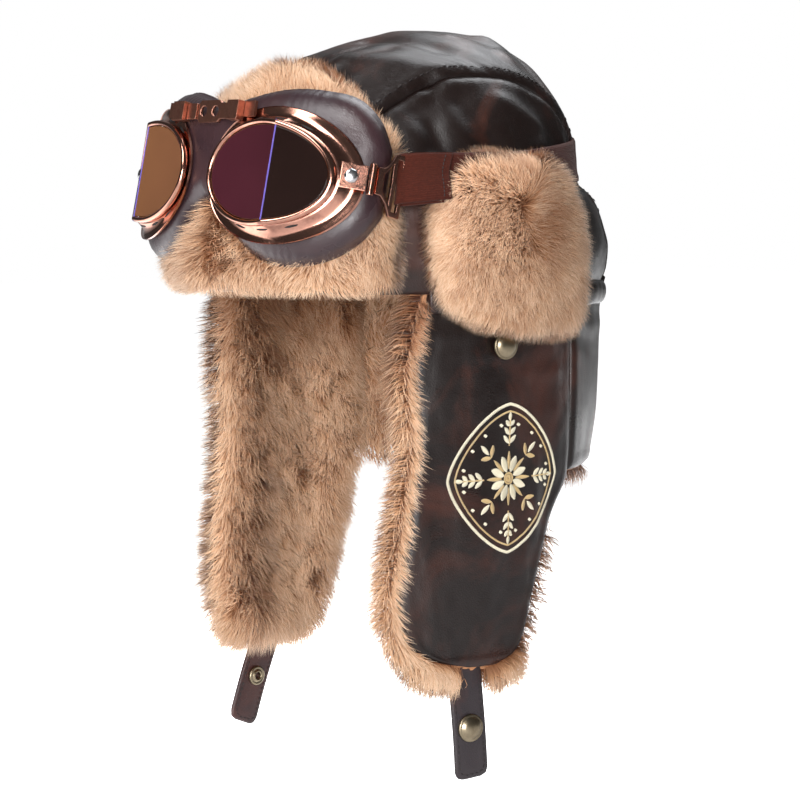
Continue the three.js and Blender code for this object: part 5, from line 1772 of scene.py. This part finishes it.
class HELMET_OT_strap(bpy.types.Operator):
    """Builds the elastic strap and finishes the hinges and buckles at the temples"""
    bl_idname = "helmet.strap"
    bl_label = "Strap and buckles"

    def execute(self, context):
        tone = settings()[2]
        dark = tuple(c * 0.35 for c in tone.elastic)
        build_strap(elastic_material("Woven elastic", tone.elastic, dark), dark_thread())
        copper = copper_plate()
        steel = metal_material("Polished steel", (0.75, 0.75, 0.78), (0.3, 0.28, 0.27), 0.14)
        for _, word in SIDES:
            soften(f"hinge_plate_{word}", copper, 0.45)
            soften(f"hinge_pin_{word}", copper, 0.35, 30)
            soften(f"strap_buckle_{word}", copper, 0.55)
            soften(f"hinge_rivet_{word}", steel, 0.5, 15)
        return {"FINISHED"}


class HELMET_OT_chin(bpy.types.Operator):
    """Builds the chin straps and the snaps"""
    bl_idname = "helmet.chin"
    bl_label = "Chin straps and snaps"

    def execute(self, context):
        tone = settings()[0]
        leather = leather_material("Chin strap leather", tone.strap, tone.rub,
                                   (0.05, 0.04, 0.045), 0.4, 1000.0)
        thread, brass = dark_thread(), brass_plate()
        for side in ("left", "right"):
            build_chin_strap(side, leather, thread, brass)
        z = np.array(-FLAP_DROP * FLAP_SNAP_DOWN)
        turn = turn_at(FLAP_SNAP_Y, z)
        for side, name in SIDES:
            place, normal = head_point(side * turn, z, 1.0), head_normal(side * turn, z)
            add_snap(f"flap_cap_{name}", place, normal, SNAP_CAP, brass, [f"flap_snap_{name}"])
        return {"FINISHED"}


class HELMET_OT_embroidery(bpy.types.Operator):
    """Stitches a made up rosette in a lozenge on the left ear flap"""
    bl_idname = "helmet.embroidery"
    bl_label = "Embroidery"

    def execute(self, context):
        silk = {"scale": 2500.0, "sheen": 0.3}
        cream = plain_material("Cream thread", (0.72, 0.66, 0.5), 0.45, spread=0.18, **silk)
        gold = plain_material("Gold thread", (0.52, 0.37, 0.17), 0.42, spread=0.2, **silk)
        build_embroidery(cream, gold)
        return {"FINISHED"}


class HELMET_OT_stage(bpy.types.Operator):
    """Sets the floor, lights and camera"""
    bl_idname = "helmet.stage"
    bl_label = "Stage"

    def execute(self, context):
        build_stage(settings()[3])
        return {"FINISHED"}


def looking(place, target):
    """The rotation that looks from place to target with z up."""
    return (Vector(target) - Vector(place)).to_track_quat("-Z", "Y").to_euler()


def add_light(name, place, size, energy, color=(1, 1, 1)):
    """A square soft light at a place in metres, aimed at the helmet."""
    lamp = bpy.data.lights.new(name, "AREA")
    lamp.size, lamp.energy, lamp.color = size, energy, color
    made = bpy.data.objects.new(name, lamp)
    made.location = place
    made.rotation_euler = looking(place, LIGHT_AIM)
    bpy.context.scene.collection.objects.link(made)


def around(azimuth, elevation, distance):
    """A place at an angle round the helmet; azimuth 0 is before its face."""
    level = math.cos(elevation)
    return np.array([math.sin(azimuth) * level, -math.cos(azimuth) * level,
                     math.sin(elevation)]) * distance


FLOOR_HALF_SIDE, FLOOR_Z = 6.0, -0.3
CAMERA_LENS, CAMERA_SENSOR, CAMERA_AIM = 120.5, 36.0, np.array([-0.001, -0.001, -0.06])
LIGHT_AIM = 0.0, 0.0, -0.03
# Name, then angle from the camera's, elevation and distance, size in m, power in W and colour
LIGHTS = (
    ("key", (-0.6, 0.8, 1.5), 0.8, 22, (1, 1, 1)),
    ("back", (2.6, 1.0, 1.4), 1.0, 13, (0.95, 0.97, 1.0)),
    ("fill", (-0.12, 0.06, 2.2), 0.9, 50, (1, 1, 1)),
    ("wall", (math.pi, 0.3, 2.2), 2.4, 3.5, (0.96, 0.98, 1.0)),
)


def floor_finish(stage):
    """The floor's material: white to the camera, and to all else a glowing band behind the
    helmet that its leather and lenses mirror."""
    material, tree, shader = new_material("Pale floor")
    place = node(tree, "SeparateXYZ", Vector=object_coord(tree)).outputs
    behind = -around(stage.azimuth + 0.6, 0.0, 1.0)
    reach = math_node(tree, "ADD", scaled(tree, place["X"], float(behind[0])),
                      scaled(tree, place["Y"], float(behind[1])))
    glow = math_node(tree, "MULTIPLY", ranged(tree, reach, 0.0, 0.2, 0.04, 2.4),
                     ranged(tree, reach, 0.6, 1.0, 1.0, 0.05))
    seen = node(tree, "LightPath").outputs["Is Camera Ray"]
    put(shader, Base_Color=(*stage.floor, 1), Roughness=0.8, Emission_Color=(1, 1, 1, 1),
        Emission_Strength=math_node(tree, "MAXIMUM", glow, seen))
    return material


def build_stage(stage):
    """A wide pale floor below the helmet, a white surround and four soft lights."""
    scene = bpy.context.scene
    half, z = FLOOR_HALF_SIDE, FLOOR_Z
    mesh = bpy.data.meshes.new("floor")
    mesh.from_pydata([(-half, -half, z), (half, -half, z), (half, half, z), (-half, half, z)],
                     [], [(0, 1, 2, 3)])
    mesh.materials.append(floor_finish(stage))
    floor = bpy.data.objects.new("floor", mesh)
    scene.collection.objects.link(floor)
    camera = bpy.data.objects.new("camera", bpy.data.cameras.new("camera"))
    camera.data.lens, camera.data.sensor_width = CAMERA_LENS, CAMERA_SENSOR
    camera.location = CAMERA_AIM + around(stage.azimuth, stage.elevation, stage.distance)
    camera.rotation_euler = looking(camera.location, CAMERA_AIM)
    scene.collection.objects.link(camera)
    scene.camera = camera
    for name, (off, elevation, distance), size, energy, color in LIGHTS:
        place = around(stage.azimuth + off, elevation, distance)
        add_light(name, place, size, energy, color)
    world = scene.world or bpy.data.worlds.new("World")
    scene.world = world
    world.use_nodes = True
    tree = world.node_tree
    tree.nodes.clear()
    seen = node(tree, "Background", Color=(1, 1, 1, 1), Strength=1.0)
    lit = node(tree, "Background", Color=(0.96, 0.98, 1.0, 1), Strength=0.07)
    camera_ray = node(tree, "LightPath").outputs["Is Camera Ray"]
    mixed = node(tree, "MixShader", enumerate((camera_ray, lit.outputs[0], seen.outputs[0])))
    node(tree, "OutputWorld", [(0, mixed.outputs[0])])
    scene.view_settings.view_transform = "Standard"


class HELMET_PT_panel(bpy.types.Panel):
    """Lists the helmet's sizes and colours and its operators"""
    bl_label = "Flying helmet"
    bl_idname = "HELMET_PT_panel"
    bl_space_type = "VIEW_3D"
    bl_region_type = "UI"
    bl_category = "Helmet"

    def draw(self, context):
        for group in settings():
            box = self.layout.box()
            for key in group.__annotations__:
                box.prop(group, key)
        for operator in OPERATORS:
            self.layout.operator(operator.bl_idname)


GROUPS = (HelmetLeather, HelmetFur, HelmetGoggles, HelmetStage)
GROUP_NAMES = ("helmet_leather", "helmet_fur", "helmet_goggles", "helmet_stage")
OPERATORS = (HELMET_OT_stage, HELMET_OT_crown, HELMET_OT_skirt, HELMET_OT_goggles, HELMET_OT_strap,
             HELMET_OT_chin, HELMET_OT_embroidery, HELMET_OT_fur)


def register():
    """Registers the property groups, operators and panel."""
    for cls in (*GROUPS, *OPERATORS, HELMET_PT_panel):
        bpy.utils.register_class(cls)
    for name, group in zip(GROUP_NAMES, GROUPS):
        setattr(bpy.types.Scene, name, bpy.props.PointerProperty(type=group))


def unregister():
    """Removes what register added."""
    for name in GROUP_NAMES:
        delattr(bpy.types.Scene, name)
    for cls in reversed((*GROUPS, *OPERATORS, HELMET_PT_panel)):
        bpy.utils.unregister_class(cls)


def main():
    """Builds the whole helmet in order."""
    register()
    for operator in OPERATORS:
        getattr(bpy.ops.helmet, operator.bl_idname.split(".")[1])()


if __name__ == "__main__":
    main()
